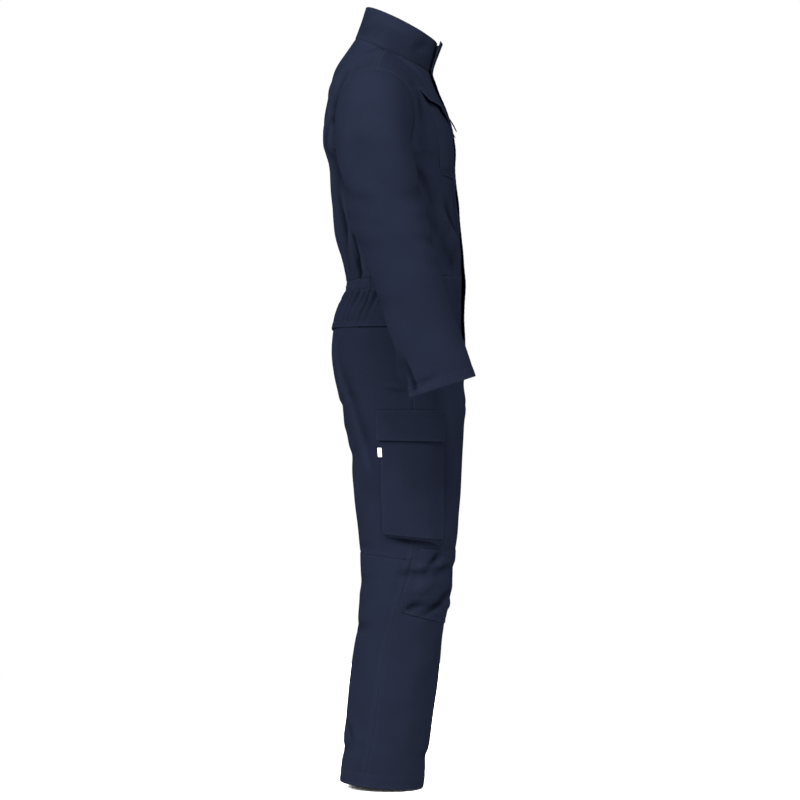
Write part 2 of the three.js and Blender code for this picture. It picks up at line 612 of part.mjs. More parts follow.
// A half grid and its mirror image as one piece, joined at the centre back
function addAcrossBack(name, grid, options = {}) {
  addCloth(name, acrossBack(grid), { ...options, turnFrom: grid[0].length - 1 });
}

// Panels
addPair("front", bodiceFront);
addAcrossBack("back", bodiceBack);
addAcrossBack("collar", collarGrid, { wall: DOUBLE_CLOTH });
addPair("sleeve", sleeveGrid, { wrap: true, turnFrom: ARMHOLE_ROWS });
addPair("leg_front", legFront);
addPair("thigh_back", thighBack);
addPair("calf_back", calfBack);

// Zip between the fronts and between the ends of the collar, and the placket over it
const zipRows = HIP_ROWS.indexOf(RISE_Z) + 1;
const closing = [...collarGrid.slice(0, -1), ...bodiceFront, ...legFront.slice(1, zipRows)];
const zip = closing.map(([cell]) => [mirrorCell(cell), cell]);
addCloth("zip", zip, { wall: ZIP_WALL, color: DARK_NAVY });
const placket = closing.map((row, i) => {
  const reach = (x) => sample([row, row], 0, indexAt(row, byX, x));
  const flare = PLACKET.flare * Math.max(0, 1 - i / PLACKET.flareRows);
  const cells = [mirrorCell(reach(PLACKET.freeX)), mirrorCell(row[0]), row[0], reach(PLACKET.sewnX)];
  return raised([cells], (_, down, column) => ON_TOP + DOUBLE_CLOTH + flare + PLACKET.lifts[column])[0];
});
addCloth("placket", placket, { wall: DOUBLE_CLOTH });

// Elastic casing over the back waist, and the flap that hangs from it over the seat
const casing = backRows([WAIST_Z, CASING_END_Z]);
addAcrossBack("waist_casing", raised(casing, () => ON_TOP + DOUBLE_CLOTH), { wall: DOUBLE_CLOTH });
const flapColumns = Math.ceil(SEAT_FLAP.edge);
const seatFlap = backRows(HIP_ROWS.slice(1, HIP_ROWS.indexOf(FLAP_HEM_Z) + 1)).map((row) => [
  between(row[flapColumns - 1], row[flapColumns], SEAT_FLAP.edge % 1),
  ...row.slice(flapColumns),
]);
addAcrossBack("seat_flap", raised(seatFlap, (_, down) => ON_TOP + CLOTH + SEAT_FLAP.lift * down ** 2));

// Chest pockets with flaps
const standingOff = (piece) => (_, down) => piece.off + CLOTH + piece.lift * down;
addPair("chest_pocket", raised(patchOf(bodiceFront, byX, CHEST_POCKET), standingOff(CHEST_POCKET)));
addPair("chest_flap", raised(patchOf(bodiceFront, byX, CHEST_FLAP), standingOff(CHEST_FLAP)));

// The outer side of the leg, across its side seam, and what is sewn on it
const outerColumns = { first: 5, last: FRONT_COLUMNS + 7 };
const legSide = legFront.slice(0, HIP_ROWS.length + THIGH_ROWS.length).map((row, i) => {
  const whole = [...row, ...thighBack[i].slice(1)];
  return whole.slice(outerColumns.first, outerColumns.last);
});
addPair("hip_welt", raised(patchOf(legSide, byForward, HIP_WELT), standingOff(HIP_WELT)));
const cargoPocket = withMargin(patchOf(legSide, byForward, CARGO_POCKET), CARGO_POCKET.slope);
const cargoLift = (across, down, column, row) => {
  const atEdge = column % (cargoPocket[0].length - 1) === 0 || row % (cargoPocket.length - 1) === 0;
  const { top, bottom, lift, backLift } = CARGO_POCKET;
  const deep = (top - cargoPocket[row][column].point.z) / (top - bottom);
  return ON_TOP + CLOTH + (atEdge ? 0 : lerp(lift, backLift, across) * Math.sqrt(deep));
};
addPair("cargo_pocket", raised(cargoPocket, cargoLift));
addPair("cargo_flap", raised(patchOf(legSide, byForward, CARGO_FLAP), standingOff(CARGO_FLAP)));
const knee = legFront.slice(HIP_ROWS.length);
addPair("knee_pocket", raised(patchOf(knee, byX, KNEE_POCKET), standingOff(KNEE_POCKET)));

// A bare loop label in the back edge of the right cargo pocket
const label = patchOf(legSide, byForward, LABEL);
const labelLift = (across) => LABEL.wall + lerp(LABEL.lift, LABEL.backLift, across);
const labelSolid = wallGeometry(raised(label, labelLift), { ...plain, wall: LABEL.wall });
addMesh("pocket_label", mirrorGeometry(labelSolid), WHITE);

export default suit;
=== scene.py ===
"""A worn boiler suit in navy twill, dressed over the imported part.

The cloth of every panel is read from its solid as a lattice of points, drawn smooth, given its folds,
seams and hems, and made a thin closed shell. Lengths are millimetres unless a name ends in _m.
The front faces -Y, the wearer's right is at -X, and "forward" is the distance in front of the origin.
"""
from __future__ import annotations

import logging
import math
from collections import deque
from dataclasses import dataclass, field
from enum import Enum
from typing import Callable, Iterable, Sequence

import bmesh
import bpy
import numpy as np
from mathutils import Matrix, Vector

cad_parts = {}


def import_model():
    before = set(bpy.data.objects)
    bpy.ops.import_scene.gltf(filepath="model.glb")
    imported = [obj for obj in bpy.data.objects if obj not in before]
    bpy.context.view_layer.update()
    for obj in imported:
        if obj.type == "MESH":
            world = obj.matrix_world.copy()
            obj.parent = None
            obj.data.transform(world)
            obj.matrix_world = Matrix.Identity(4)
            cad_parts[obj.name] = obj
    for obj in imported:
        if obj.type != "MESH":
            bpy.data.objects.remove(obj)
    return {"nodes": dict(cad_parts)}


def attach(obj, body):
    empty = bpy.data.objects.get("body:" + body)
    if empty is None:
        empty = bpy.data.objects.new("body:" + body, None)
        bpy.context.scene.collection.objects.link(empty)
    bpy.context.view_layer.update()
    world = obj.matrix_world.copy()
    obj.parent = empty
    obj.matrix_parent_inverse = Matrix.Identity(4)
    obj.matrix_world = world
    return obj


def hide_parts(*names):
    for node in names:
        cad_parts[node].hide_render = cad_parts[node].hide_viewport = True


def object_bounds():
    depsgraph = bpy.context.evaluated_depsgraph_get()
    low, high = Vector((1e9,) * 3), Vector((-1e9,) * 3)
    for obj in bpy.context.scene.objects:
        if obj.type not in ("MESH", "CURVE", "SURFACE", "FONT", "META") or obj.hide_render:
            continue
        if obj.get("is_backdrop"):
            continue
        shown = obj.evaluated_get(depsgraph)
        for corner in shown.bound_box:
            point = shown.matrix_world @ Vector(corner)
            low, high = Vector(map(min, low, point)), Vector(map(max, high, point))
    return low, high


Array = np.ndarray
LOG = logging.getLogger("boiler_suit")
MM = 0.001
TUBE_LAP = 3  # how many columns of a tube are drawn again past its seam, so that it runs smooth there
MERGE_M = 2e-5  # vertices closer than this are one
FLOOR_GAP_M = 0.002  # how far the floor lies below the hems
LEAST_SHARE = 0.31  # the least share of width times length that a cut piece covers
CROWDED = 0.4  # a fine line goes where a wanted one lies nearer than this share of the spacing
RIM_M = 0.003  # most edges shorter than this cross a solid's rim, and are as long as its wall is thick
WALL_SHARE = 0.05  # how much of the wall's thickness such an edge may differ from it
ARM_X = 250.0  # only a sleeve's middle lies further out
LEG_X, WAIST_Z = 120.0, -480.0  # how far out a leg's middle lies, and where the legs begin
MIDDLE_Y = 5.0  # how far behind the origin the middle of the body and the legs lies
ON_CENTRE = 0.5  # a vertex nearer than this to the centre plane is on it


class Edge(Enum):
    """The sides of a panel's grid. Columns run from the front, or from the wearer's left, backwards."""

    LEFT = "left"
    RIGHT = "right"
    TOP = "top"
    BOTTOM = "bottom"


class Sewn(Enum):
    """How an edge is finished."""

    SEAM = "tucked into a seam"
    HEM = "turned and stitched"
    FREE = "a folded edge that hangs free"
    LAID = "laid on another piece and stitched down"


class View(Enum):
    """The side from which a fold is drawn."""

    SIDE = "forward and height"
    FRONT = "across and height, on what faces forward"
    BACK = "across and height, on what faces backward"


# Reading the solids


@dataclass
class Lattice:
    """The outer cloth of a solid as rows and columns of points, with the way out at each."""

    points: Array
    normals: Array
    mirrored: bool

    def without_margin(self) -> Lattice:
        """Leaves out the lines next to the edges.

        Returns:
            The smaller lattice.
        """
        kept = [[i for i in range(count) if i not in (1, count - 2)] for count in self.points.shape[:2]]
        keep = np.ix_(*kept)
        return Lattice(self.points[keep], self.normals[keep], self.mirrored)


def steps_from(seeds: Iterable[int], near: dict[int, set[int]]) -> dict[int, int]:
    """How many edges each vertex lies from the nearest seed.

    Args:
        seeds: The vertices to start from.
        near: Each vertex's neighbours.

    Returns:
        The number of edges for each vertex that is reached.
    """
    found = {seed: 0 for seed in seeds}
    queue = deque(found)
    while queue:
        at = queue.popleft()
        for other in near[at]:
            if other not in found:
                found[other] = found[at] + 1
                queue.append(other)
    return found


def closed_walk(links: dict[int, list[int]], start: int) -> list[int]:
    """The vertices of a closed line in order.

    Args:
        links: The two neighbours of each vertex on the line.
        start: The vertex to start from.

    Returns:
        The vertices, the first one being start.
    """
    walk, before, at = [start], None, start
    while True:
        ahead = [v for v in links[at] if v != before]
        before, at = at, ahead[0]
        if at == start:
            return walk
        walk.append(at)


class SolidReader:
    """Finds the rows and columns of a panel's outer cloth in its solid."""

    def __init__(self, node: bpy.types.Object) -> None:
        """Merges a copy of the node's mesh and parts it into its outer and inner cloth.

        Args:
            node: The part's node. Its own mesh stays as it is.
        """
        self.name = node.name
        self.mesh = bmesh.new()
        self.mesh.from_mesh(node.data)
        bmesh.ops.remove_doubles(self.mesh, verts=self.mesh.verts, dist=MERGE_M)
        for parts in (self.mesh.verts, self.mesh.edges, self.mesh.faces):
            parts.index_update()
        self.mesh.verts.ensure_lookup_table()
        self.mesh.faces.ensure_lookup_table()
        self.place = np.array([v.co for v in self.mesh.verts], float) / MM
        sides = self._sides(self._rim())
        if len(sides) != 2:
            raise ValueError(f"{self.name} has {len(sides)} cloth sides, not 2")
        first, second = ({v.index for f in side for v in self.mesh.faces[f].verts} for side in sides)
        if self._lies_outside(first, second):
            self.faces, self.outer, self.inner = sides[0], first, second
        else:
            self.faces, self.outer, self.inner = sides[1], second, first

    def _rim(self) -> set[int]:
        """Finds the faces between the outer and the inner cloth.

        Returns:
            Their indices.
        """
        lengths = {e.index: e.calc_length() for e in self.mesh.edges}
        short = sorted(length for length in lengths.values() if length < RIM_M)
        wall = short[len(short) // 2]
        crossing = {index for index, length in lengths.items() if abs(length - wall) < WALL_SHARE * wall}
        return {f.index for f in self.mesh.faces if any(e.index in crossing for e in f.edges)}

    def _sides(self, rim: set[int]) -> list[set[int]]:
        """Parts the cloth's faces into the sides that the rim keeps apart.

        Args:
            rim: The faces that belong to neither side.

        Returns:
            The faces of each side.
        """
        near = {f.index: set() for f in self.mesh.faces if f.index not in rim}
        for edge in self.mesh.edges:
            both = [f.index for f in edge.link_faces if f.index not in rim]
            if len(both) == 2:
                near[both[0]].add(both[1])
                near[both[1]].add(both[0])
        left, sides = set(near), []
        while left:
            side = set(steps_from([next(iter(left))], near))
            sides.append(side)
            left -= side
        return sides

    def _lies_outside(self, side: set[int], other: set[int]) -> bool:
        """Tells whether a side lies further from the middle of the body, leg or arm than the other.

        Args:
            side: The side's vertices.
            other: The other side's.

        Returns:
            Whether it is the outer one.
        """
        points, others = self.place[sorted(side)], self.place[sorted(other)]
        middle = self.place.mean(axis=0)
        if abs(middle[0]) < ARM_X:
            on_leg = middle[2] < WAIST_Z and abs(middle[0]) > 1
            middle = np.array([math.copysign(LEG_X, middle[0]) if on_leg else 0.0, MIDDLE_Y, 0.0])
        nearest = others[np.argmin(((points[:, None] - others[None]) ** 2).sum(2), axis=1)]
        return float(((points - nearest)[:, :2] * (points - middle)[:, :2]).sum()) > 0

    def lattice(self, wrap: bool = False, across: bool = False) -> Lattice:
        """Reads the outer cloth.

        Args:
            wrap: Whether the cloth is a tube, whose columns then start and end under the arm.
            across: Whether the piece lies across the centre plane.

        Returns:
            The lattice, with the columns of a right-hand piece in the order of the left-hand one.
        """
        near: dict[int, set[int]] = {v: set() for v in self.outer}
        links: dict[int, list[int]] = {}
        for edge in self.mesh.edges:
            a, b = (v.index for v in edge.verts)
            uses = sum(f.index in self.faces for f in edge.link_faces)
            if uses:
                near[a].add(b)
                near[b].add(a)
            if uses == 1:
                links.setdefault(a, []).append(b)
                links.setdefault(b, []).append(a)
        mirrored = self.name.endswith(("_right", "_label"))
        order = self._tube(near, links) if wrap else self._patch(near, links, across)
        if mirrored:
            order = np.roll(order[:, ::-1], 1, axis=1) if wrap else order[:, ::-1]
        if wrap:
            half = order.shape[1] // 2
            order = np.roll(order, half, axis=1)
            order = np.concatenate([order, order[:, :1]], axis=1)
        inner = self.place[sorted(self.inner)]
        points = self.place[order]
        gaps = ((points[:, :, None, :] - inner[None, None]) ** 2).sum(-1)
        away = points - inner[np.argmin(gaps, axis=2)]
        return Lattice(points, away / np.linalg.norm(away, axis=2, keepdims=True), mirrored)

    def _turns_out(self, corner: int, down: int, right: int) -> bool:
        """Tells whether down and right at a corner have the cloth's outer side above them.

        Args:
            corner: The corner's vertex.
            down: Its neighbour in the next row.
            right: Its neighbour in the next column.

        Returns:
            Whether they have.
        """
        way = np.cross(self.place[down] - self.place[corner], self.place[right] - self.place[corner])
        faces = [f for f in self.mesh.verts[corner].link_faces if f.index in self.faces]
        return float(np.dot(way, sum((np.array(f.normal) for f in faces), np.zeros(3)))) > 0

    def _patch(self, near: dict[int, set[int]], links: dict[int, list[int]], across: bool) -> Array:
        """Puts the vertices of a four-sided piece in rows and columns.

        Args:
            near: The neighbours of each vertex.
            links: The neighbours along the border of each vertex on it.
            across: Whether the piece lies across the centre plane.

        Returns:
            The vertices.
        """
        uses = {v: sum(f.index in self.faces for f in self.mesh.verts[v].link_faces) for v in links}
        corners = {v for v in links if uses[v] <= 2 and not (across and abs(self.place[v][0]) < ON_CENTRE)}
        if len(corners) != 4:
            raise ValueError(f"{self.name} has {len(corners)} corners, not 4")
        walk = closed_walk(links, next(iter(corners)))
        at = [i for i, v in enumerate(walk) if v in corners] + [len(walk)]
        ring = walk + walk[:1]
        sides = [ring[a : b + 1] for a, b in zip(at, at[1:])]
        top_at = max(range(4), key=lambda i: float(self.place[sides[i]][:, 2].mean()))
        top, side = sides[top_at], sides[top_at - 1][::-1]
        if not self._turns_out(top[0], side[1], top[1]):
            top, side = top[::-1], sides[(top_at + 1) % 4]
        rows, columns = steps_from(top, near), steps_from(side, near)
        order = np.full((max(rows.values()) + 1, max(columns.values()) + 1), -1)
        for vertex in self.outer:
            order[rows[vertex], columns[vertex]] = vertex
        if (order < 0).any():
            raise ValueError(f"{self.name} isn't a grid")
        return order

    def _tube(self, near: dict[int, set[int]], links: dict[int, list[int]]) -> Array:
        """Puts the vertices of a tube in rings, each starting over the arm.

        Args:
            near: The neighbours of each vertex.
            links: The neighbours along the border of each vertex on it.

        Returns:
            The vertices.
        """
        top = max(links, key=lambda v: self.place[v][2])
        walk = closed_walk(links, top)
        rows = steps_from(walk, near)
        rings: list[list[int]] = []
        for row in range(max(rows.values()) + 1):
            ring = [v for v in self.outer if rows[v] == row]
            level = {v: [w for w in near[v] if rows[w] == row] for v in ring}
            towards = row + 1 if row == 0 else row - 1
            count = {v: sum(rows[w] == towards for w in near[v]) for v in ring}
            start = max(ring, key=lambda v: count[v]) if row == 0 else min(ring, key=lambda v: count[v])
            rings.append(closed_walk(level, start))
        for i, ring in enumerate(rings):
            other = rings[i + 1][0] if i + 1 < len(rings) else rings[i - 1][0]
            down_first = i + 1 < len(rings)
            if self._turns_out(ring[0], other, ring[1]) != down_first:
                rings[i] = ring[:1] + ring[:0:-1]
        return np.array(rings)


# Drawing the cloth smooth


def spline_weights(knots: Array, places: Array) -> Array:
    """Weights that carry values at the knots to a natural cubic spline's values at the places.

    Args:
        knots: Where the values are, rising.
        places: Where they are wanted.

    Returns:
        A matrix with a row for each place and a column for each knot.
    """
    count = len(knots)
    step = np.diff(knots)
    bend, load = np.eye(count), np.zeros((count, count))
    for i in range(1, count - 1):
        bend[i, i - 1 : i + 2] = step[i - 1], 2 * (step[i - 1] + step[i]), step[i]
        load[i, i - 1 : i + 2] = 6 / step[i - 1], -6 / step[i - 1] - 6 / step[i], 6 / step[i]
    curve = np.linalg.solve(bend, load)
    cell = np.clip(np.searchsorted(knots, places, side="right") - 1, 0, count - 2)
    width = step[cell][:, None]
    after = ((places - knots[cell]) / step[cell])[:, None]
    before, whole = 1 - after, np.eye(count)
    line = before * whole[cell] + after * whole[cell + 1]
    bow = (before**3 - before) * curve[cell] + (after**3 - after) * curve[cell + 1]
    return line + bow * width**2 / 6


def unit(vectors: Array) -> Array:
    """The vectors with length 1."""
    return vectors / np.maximum(np.linalg.norm(vectors, axis=-1, keepdims=True), 1e-9)


def waves(across: Array, down: Array, size: float, seed: int, count: int = 9) -> Array:
    """A smooth, uneven field between about -1 and 1.

    Args:
        across: One coordinate of each point, in mm.
        down: The other.
        size: The usual length of a wave.
        seed: What the directions are drawn from.
        count: How many waves are added up.

    Returns:
        The field's value at each point.
    """
    draw = np.random.default_rng(seed)
    total = np.zeros(np.broadcast(across, down).shape)
    for _ in range(count):
        turn, length = draw.uniform(0, 2 * math.pi), size * draw.uniform(0.7, 1.6)
        phase = draw.uniform(0, 2 * math.pi)
        total += np.sin(2 * math.pi * (across * math.cos(turn) + down * math.sin(turn)) / length + phase)
    return total / math.sqrt(2 * count)


def smooth_step(values: Array, low: float, high: float) -> Array:
    """0 below low, 1 above high, and a smooth way between."""
    t = np.clip((values - low) / (high - low), 0, 1)
    return t * t * (3 - 2 * t)


@dataclass
class Cloth:
    """A piece of cloth as a fine grid, with its distances from its edges and its relief."""

    name: str
    points: Array
    normals: Array
    mirrored: bool
    relief: Array = field(init=False)
    edge: dict[Edge, Array] = field(init=False)
    flat: tuple[float, float] = field(init=False)
    area_m2: float = field(init=False)

    def __post_init__(self) -> None:
        """Measures the grid."""
        self.relief = np.zeros(self.points.shape[:2])
        over = np.linalg.norm(np.diff(self.points, axis=1), axis=2)
        down = np.linalg.norm(np.diff(self.points, axis=0), axis=2)
        left = np.pad(np.cumsum(over, axis=1), ((0, 0), (1, 0)))
        top = np.pad(np.cumsum(down, axis=0), ((1, 0), (0, 0)))
        self.edge = {
            Edge.LEFT: left,
            Edge.RIGHT: left[:, -1:] - left,
            Edge.TOP: top,
            Edge.BOTTOM: top[-1:] - top,
        }
        self.flat = (float(left[:, -1].max()) * MM, float(top[-1].max()) * MM)
        a = self.points[1:, :-1] - self.points[:-1, :-1]
        b = self.points[:-1, 1:] - self.points[:-1, :-1]
        self.area_m2 = float(np.linalg.norm(np.cross(a, b), axis=2).sum()) * MM * MM

    @property
    def grain(self) -> tuple[Array, Array]:
        """Each point's place on the flat cloth, in mm.

        Returns:
            The distances across and down.
        """
        middle = self.points.shape[1] // 2
        left, top = self.edge[Edge.LEFT], self.edge[Edge.TOP]
        down = np.repeat(top[:, middle : middle + 1], left.shape[1], axis=1)
        return left - left[:, middle : middle + 1], down

    def cut_m2(self) -> float:
        """Gives the area of the cut piece.

        Returns:
            The cloth's area, but within what its width and length allow.
        """
        width, length = self.flat
        return max(min(self.area_m2, width * length), LEAST_SHARE * width * length)

    def surface(self) -> Array:
        """The outer cloth with its relief."""
        return self.points + self.normals * self.relief[..., None]

    def near(self, edge: Edge, distance: float, width: float) -> Array:
        """1 on the line at a distance from an edge, and falling off on both sides of it."""
        return np.exp(-(((self.edge[edge] - distance) / width) ** 2))

    def line(self, edge: Edge, distance: float, start: float = 0, end: float = 0) -> tuple[Array, Array]:
        """The points and normals along a line at a distance from an edge.

        Args:
            edge: The edge that the line follows.
            distance: How far inside the edge it lies.
            start: How much is left out where the line starts.
            end: How much is left out where it ends.

        Returns:
            The points and the ways out.
        """
        surface, normals, gaps = self.surface(), self.normals, self.edge[edge]
        if edge in (Edge.TOP, Edge.BOTTOM):
            surface, normals, gaps = (np.swapaxes(a, 0, 1) for a in (surface, normals, gaps))
        if edge in (Edge.RIGHT, Edge.BOTTOM):
            surface, normals, gaps = surface[:, ::-1], normals[:, ::-1], gaps[:, ::-1]
        found, ways = [], []
        for line, way, gap in zip(surface, normals, gaps):
            if gap[-1] > distance:
                found.append([np.interp(distance, gap, line[:, k]) for k in range(3)])
                ways.append([np.interp(distance, gap, way[:, k]) for k in range(3)])
        points, out = np.array(found), np.array(ways)
        along = np.pad(np.cumsum(np.linalg.norm(np.diff(points, axis=0), axis=1)), (1, 0))
        keep = (along >= start) & (along <= along[-1] - end)
        return points[keep], unit(out[keep])


def fine_places(
    knots: Array, lengths: Array, spacing: float, first: Sequence[float], last: Sequence[float]
) -> Array:
    """Where a fine grid has its lines.

    Args:
        knots: The places of the lattice's lines.
        lengths: How far each is from the next, in mm.
        spacing: The wanted distance between fine lines, in mm.
        first: Distances from the first edge that get a line, in mm.
        last: The same from the last edge.

    Returns:
        The places, rising.
    """
    places = [knots[:1]]
    for i, length in enumerate(lengths):
        count = max(1, round(length / spacing))
        places.append(np.linspace(knots[i], knots[i + 1], count + 1)[1:])
    along = np.pad(np.cumsum(lengths), (1, 0))
    inside = [d for d in first if d < along[-1] / 2] + [along[-1] - d for d in last if d < along[-1] / 2]
    extra = np.interp(inside, along, knots)
    plain = np.concatenate(places)
    if len(extra):
        scale = along[-1] / (knots[-1] - knots[0])
        gap = np.abs(plain[:, None] - extra[None]).min(axis=1) * scale
        ends = (plain == knots[0]) | (plain == knots[-1])
        plain = plain[(gap > CROWDED * spacing) | ends]
    return np.unique(np.round(np.concatenate([plain, extra]), 6))


def draw_cloth(
    name: str,
    lattice: Lattice,
    spacing: float,
    lines: dict[Edge, Sequence[float]],
    even: bool = True,
    tube: bool = False,
) -> Cloth:
    """Draws a lattice as smooth cloth.

    Args:
        name: The cloth's name.
        lattice: Its lattice.
        spacing: The distance between fine lines.
        lines: For each edge, the distances from it that need a line.
        even: Whether the columns are evenly spaced, as on a panel, or as far apart as they lie.
        tube: Whether the last column is the first one again.

    Returns:
        The cloth.
    """
    points, normals = lattice.points, lattice.normals
    over = np.linalg.norm(np.diff(points, axis=1), axis=2).mean(axis=0)
    down = np.linalg.norm(np.diff(points, axis=0), axis=2).mean(axis=1)
    columns = np.arange(points.shape[1], dtype=float) if even else np.pad(np.cumsum(over), (1, 0))
    rows = np.pad(np.cumsum(down), (1, 0))
    down_at = fine_places(rows, down, spacing, lines.get(Edge.TOP, ()), lines.get(Edge.BOTTOM, ()))
    over_at = fine_places(columns, over, spacing, lines.get(Edge.LEFT, ()), lines.get(Edge.RIGHT, ()))
    by_row = spline_weights(rows, down_at)
    if tube:
        count = len(columns) - 1
        wide = np.arange(-TUBE_LAP, len(columns) + TUBE_LAP, dtype=float)
        loose = spline_weights(wide, over_at)
        by_column = np.zeros((len(over_at), len(columns)))
        for k, place in enumerate(wide):
            by_column[:, int(place) % count] += loose[:, k]
    else:
        by_column = spline_weights(columns, over_at)
    drawn = np.einsum("ar,rck,bc->abk", by_row, points, by_column)
    out = unit(np.einsum("ar,rck,bc->abk", by_row, normals, by_column))
    return Cloth(name, drawn, out, lattice.mirrored)


# Folds


TURN_FADE, CENTRE_FADE = 0.4, 6.0  # how softly a fold ends where the cloth turns away, and at the centre
LEFT_SHIFT, LEFT_WAVER, LEFT_STRENGTH = 7.0, 4.0, (0.7, 1.15)  # how the left side's folds differ


@dataclass(frozen=True)
class Fold:
    """A soft ridge (height above 0) or trough along a line, drawn on the wearer's right side.

    Each point of the path is (forward, z) seen from the side, and (across, z) seen from the front or
    back, where across grows from the centre to the wearer's right. The second width is that of the
    flank to the right of someone who walks along the path.
    """

    view: View
    path: tuple[tuple[float, float], ...]
    width: float
    height: float
    second: float = 0.0

    def relief(self, cloth: Cloth, side: int, seed: int) -> Array:
        """How far the fold moves the cloth out.

        Args:
            cloth: The cloth.
            side: -1 for the wearer's right, 1 for the left.
            seed: What the small differences of the left side are drawn from.

        Returns:
            The distance at each point of the grid.
        """
        draw = np.random.default_rng(seed)
        path = np.array(self.path, float)
        height = self.height
        if side > 0:
            path = path + draw.uniform(-LEFT_SHIFT, LEFT_SHIFT, 2)
            path = path + draw.uniform(-LEFT_WAVER, LEFT_WAVER, path.shape)
            height *= draw.uniform(*LEFT_STRENGTH)
        x, y, z = (cloth.points[..., k] for k in range(3))
        if self.view is View.SIDE:
            flat, facing, start = np.stack([-y, z], -1), cloth.normals[..., 0] * side, -0.25
        else:
            towards = -1.0 if self.view is View.FRONT else 1.0
            flat, facing, start = np.stack([x * side, z], -1), cloth.normals[..., 1] * towards, 0.0
        off_centre = smooth_step(x * side, -CENTRE_FADE, CENTRE_FADE)
        shown = smooth_step(facing, start, start + TURN_FADE) * off_centre
        gap = np.full(flat.shape[:2], 1e9)
        signed = np.zeros_like(gap)
        place = np.zeros_like(gap)
        lengths = np.linalg.norm(np.diff(path, axis=0), axis=1)
        begun = np.pad(np.cumsum(lengths), (1, 0))
        for i, (a, b) in enumerate(zip(path, path[1:])):
            way = (b - a) / lengths[i]
            off = flat - a
            along = np.clip(off @ way, 0, lengths[i])
            rest = off - along[..., None] * way
            distance = np.linalg.norm(rest, axis=-1)
            closer = distance < gap
            gap = np.where(closer, distance, gap)
            cross = way[0] * off[..., 1] - way[1] * off[..., 0]
            signed = np.where(closer, cross, signed)
            place = np.where(closer, begun[i] + along, place)
        share = place / begun[-1]
        fade = np.sin(math.pi * np.clip(0.08 + 0.84 * share, 0, 1)) ** 0.6
        uneven = 1 + 0.22 * np.sin(place / (0.9 * self.width + 9) + draw.uniform(0, 6))
        width = np.where(signed < 0, self.second or self.width, self.width) * (0.8 + 0.3 * fade)
        return height * np.exp(-((gap / width) ** 2)) * fade * uneven * shown


FOLD_DEPTH = 1.45  # how much deeper the folds are drawn than the tables say


def lay_folds(cloth: Cloth, folds: Sequence[Fold]) -> None:
    """Adds folds to a cloth's relief, on each side of the body that it covers.

    Args:
        cloth: The cloth.
        folds: The folds, as drawn on the wearer's right.
    """
    for side in (-1, 1):
        if (cloth.points[..., 0] * side > 0).any():
            for i, fold in enumerate(folds):
                cloth.relief += FOLD_DEPTH * fold.relief(cloth, side, 100 + i)


# Meshes


@dataclass
class MeshData:
    """Points in mm and faces, gathered for one object."""

    points: list[Array] = field(default_factory=list)
    faces: list[Array] = field(default_factory=list)
    uvs: list[Array] = field(default_factory=list)
    wear: list[Array] = field(default_factory=list)
    count: int = 0

    def add(self, points: Array, faces: Array, uvs: Array, wear: Array | None = None) -> None:
        """Adds points, faces of four corners, a place on the flat cloth for each point, and wear.

        Args:
            points: Points, in mm.
            faces: Corners of each face, three or four.
            uvs: Each point's place on the cloth, in mm.
            wear: How worn each point is, from 0 to 1, or below 0 how deep in a crease it lies, for the
                painted shade there.
        """
        self.points.append(points.reshape(-1, 3))
        self.faces.append(faces + self.count)
        self.uvs.append(uvs.reshape(-1, 2))
        self.wear.append(np.zeros(self.points[-1].shape[0]) if wear is None else wear.ravel())
        self.count += self.points[-1].shape[0]

    def build(self, name: str, finish: bpy.types.Material, slot: str) -> bpy.types.Object:
        """Makes the object.

        Args:
            name: Its name.
            finish: Its material.
            slot: The record's material slot; not used.

        Returns:
            The object, riding on the part's one body.
        """
        points = np.concatenate(self.points) * MM
        mesh = bpy.data.meshes.new(name)
        mesh.from_pydata(points.tolist(), [], [f for part in self.faces for f in part.tolist()])
        mesh.polygons.foreach_set("use_smooth", [True] * len(mesh.polygons))
        corners = np.zeros(len(mesh.loops), np.int32)
        mesh.loops.foreach_get("vertex_index", corners)
        layer = mesh.uv_layers.new(name="cloth")
        layer.data.foreach_set("uv", (np.concatenate(self.uvs) * MM)[corners].astype(np.float32).ravel())
        # The wear attribute holds real wear above 0, and below 0 the depth of the painted shade in creases.
        worn = mesh.attributes.new("wear", "FLOAT", "POINT")
        worn.data.foreach_set("value", np.concatenate(self.wear).astype(np.float32))
        mesh.update()
        mesh.materials.append(finish)
        made = bpy.data.objects.new(name, mesh)
        bpy.context.scene.collection.objects.link(made)
        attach(made, "root")
        LOG.info("%s: %d faces", name, len(mesh.polygons))
        return made


EDGE_REACH, EDGE_WORN = 3.0, 0.3  # how far inside an edge the cloth is worn, and how much
RIDGE_MM, RIDGE_WORN = 6.0, 0.3  # how worn a ridge of a height is, and at most
CREASE_SHADE_MM = 3.0  # how deep a crease lies where its painted shade is darkest


def softened(values: Array, rounds: int = 14) -> Array:
    """Takes away the narrow ups and downs of a grid's values.

    Args:
        values: The values.
        rounds: How often each becomes the mean of its neighbours.

    Returns:
        The softened values.
    """
    for _ in range(rounds):
        wide = np.pad(values, 1, mode="edge")
        values = (wide[:-2, 1:-1] + wide[2:, 1:-1] + wide[1:-1, :-2] + wide[1:-1, 2:]) / 4
    return values


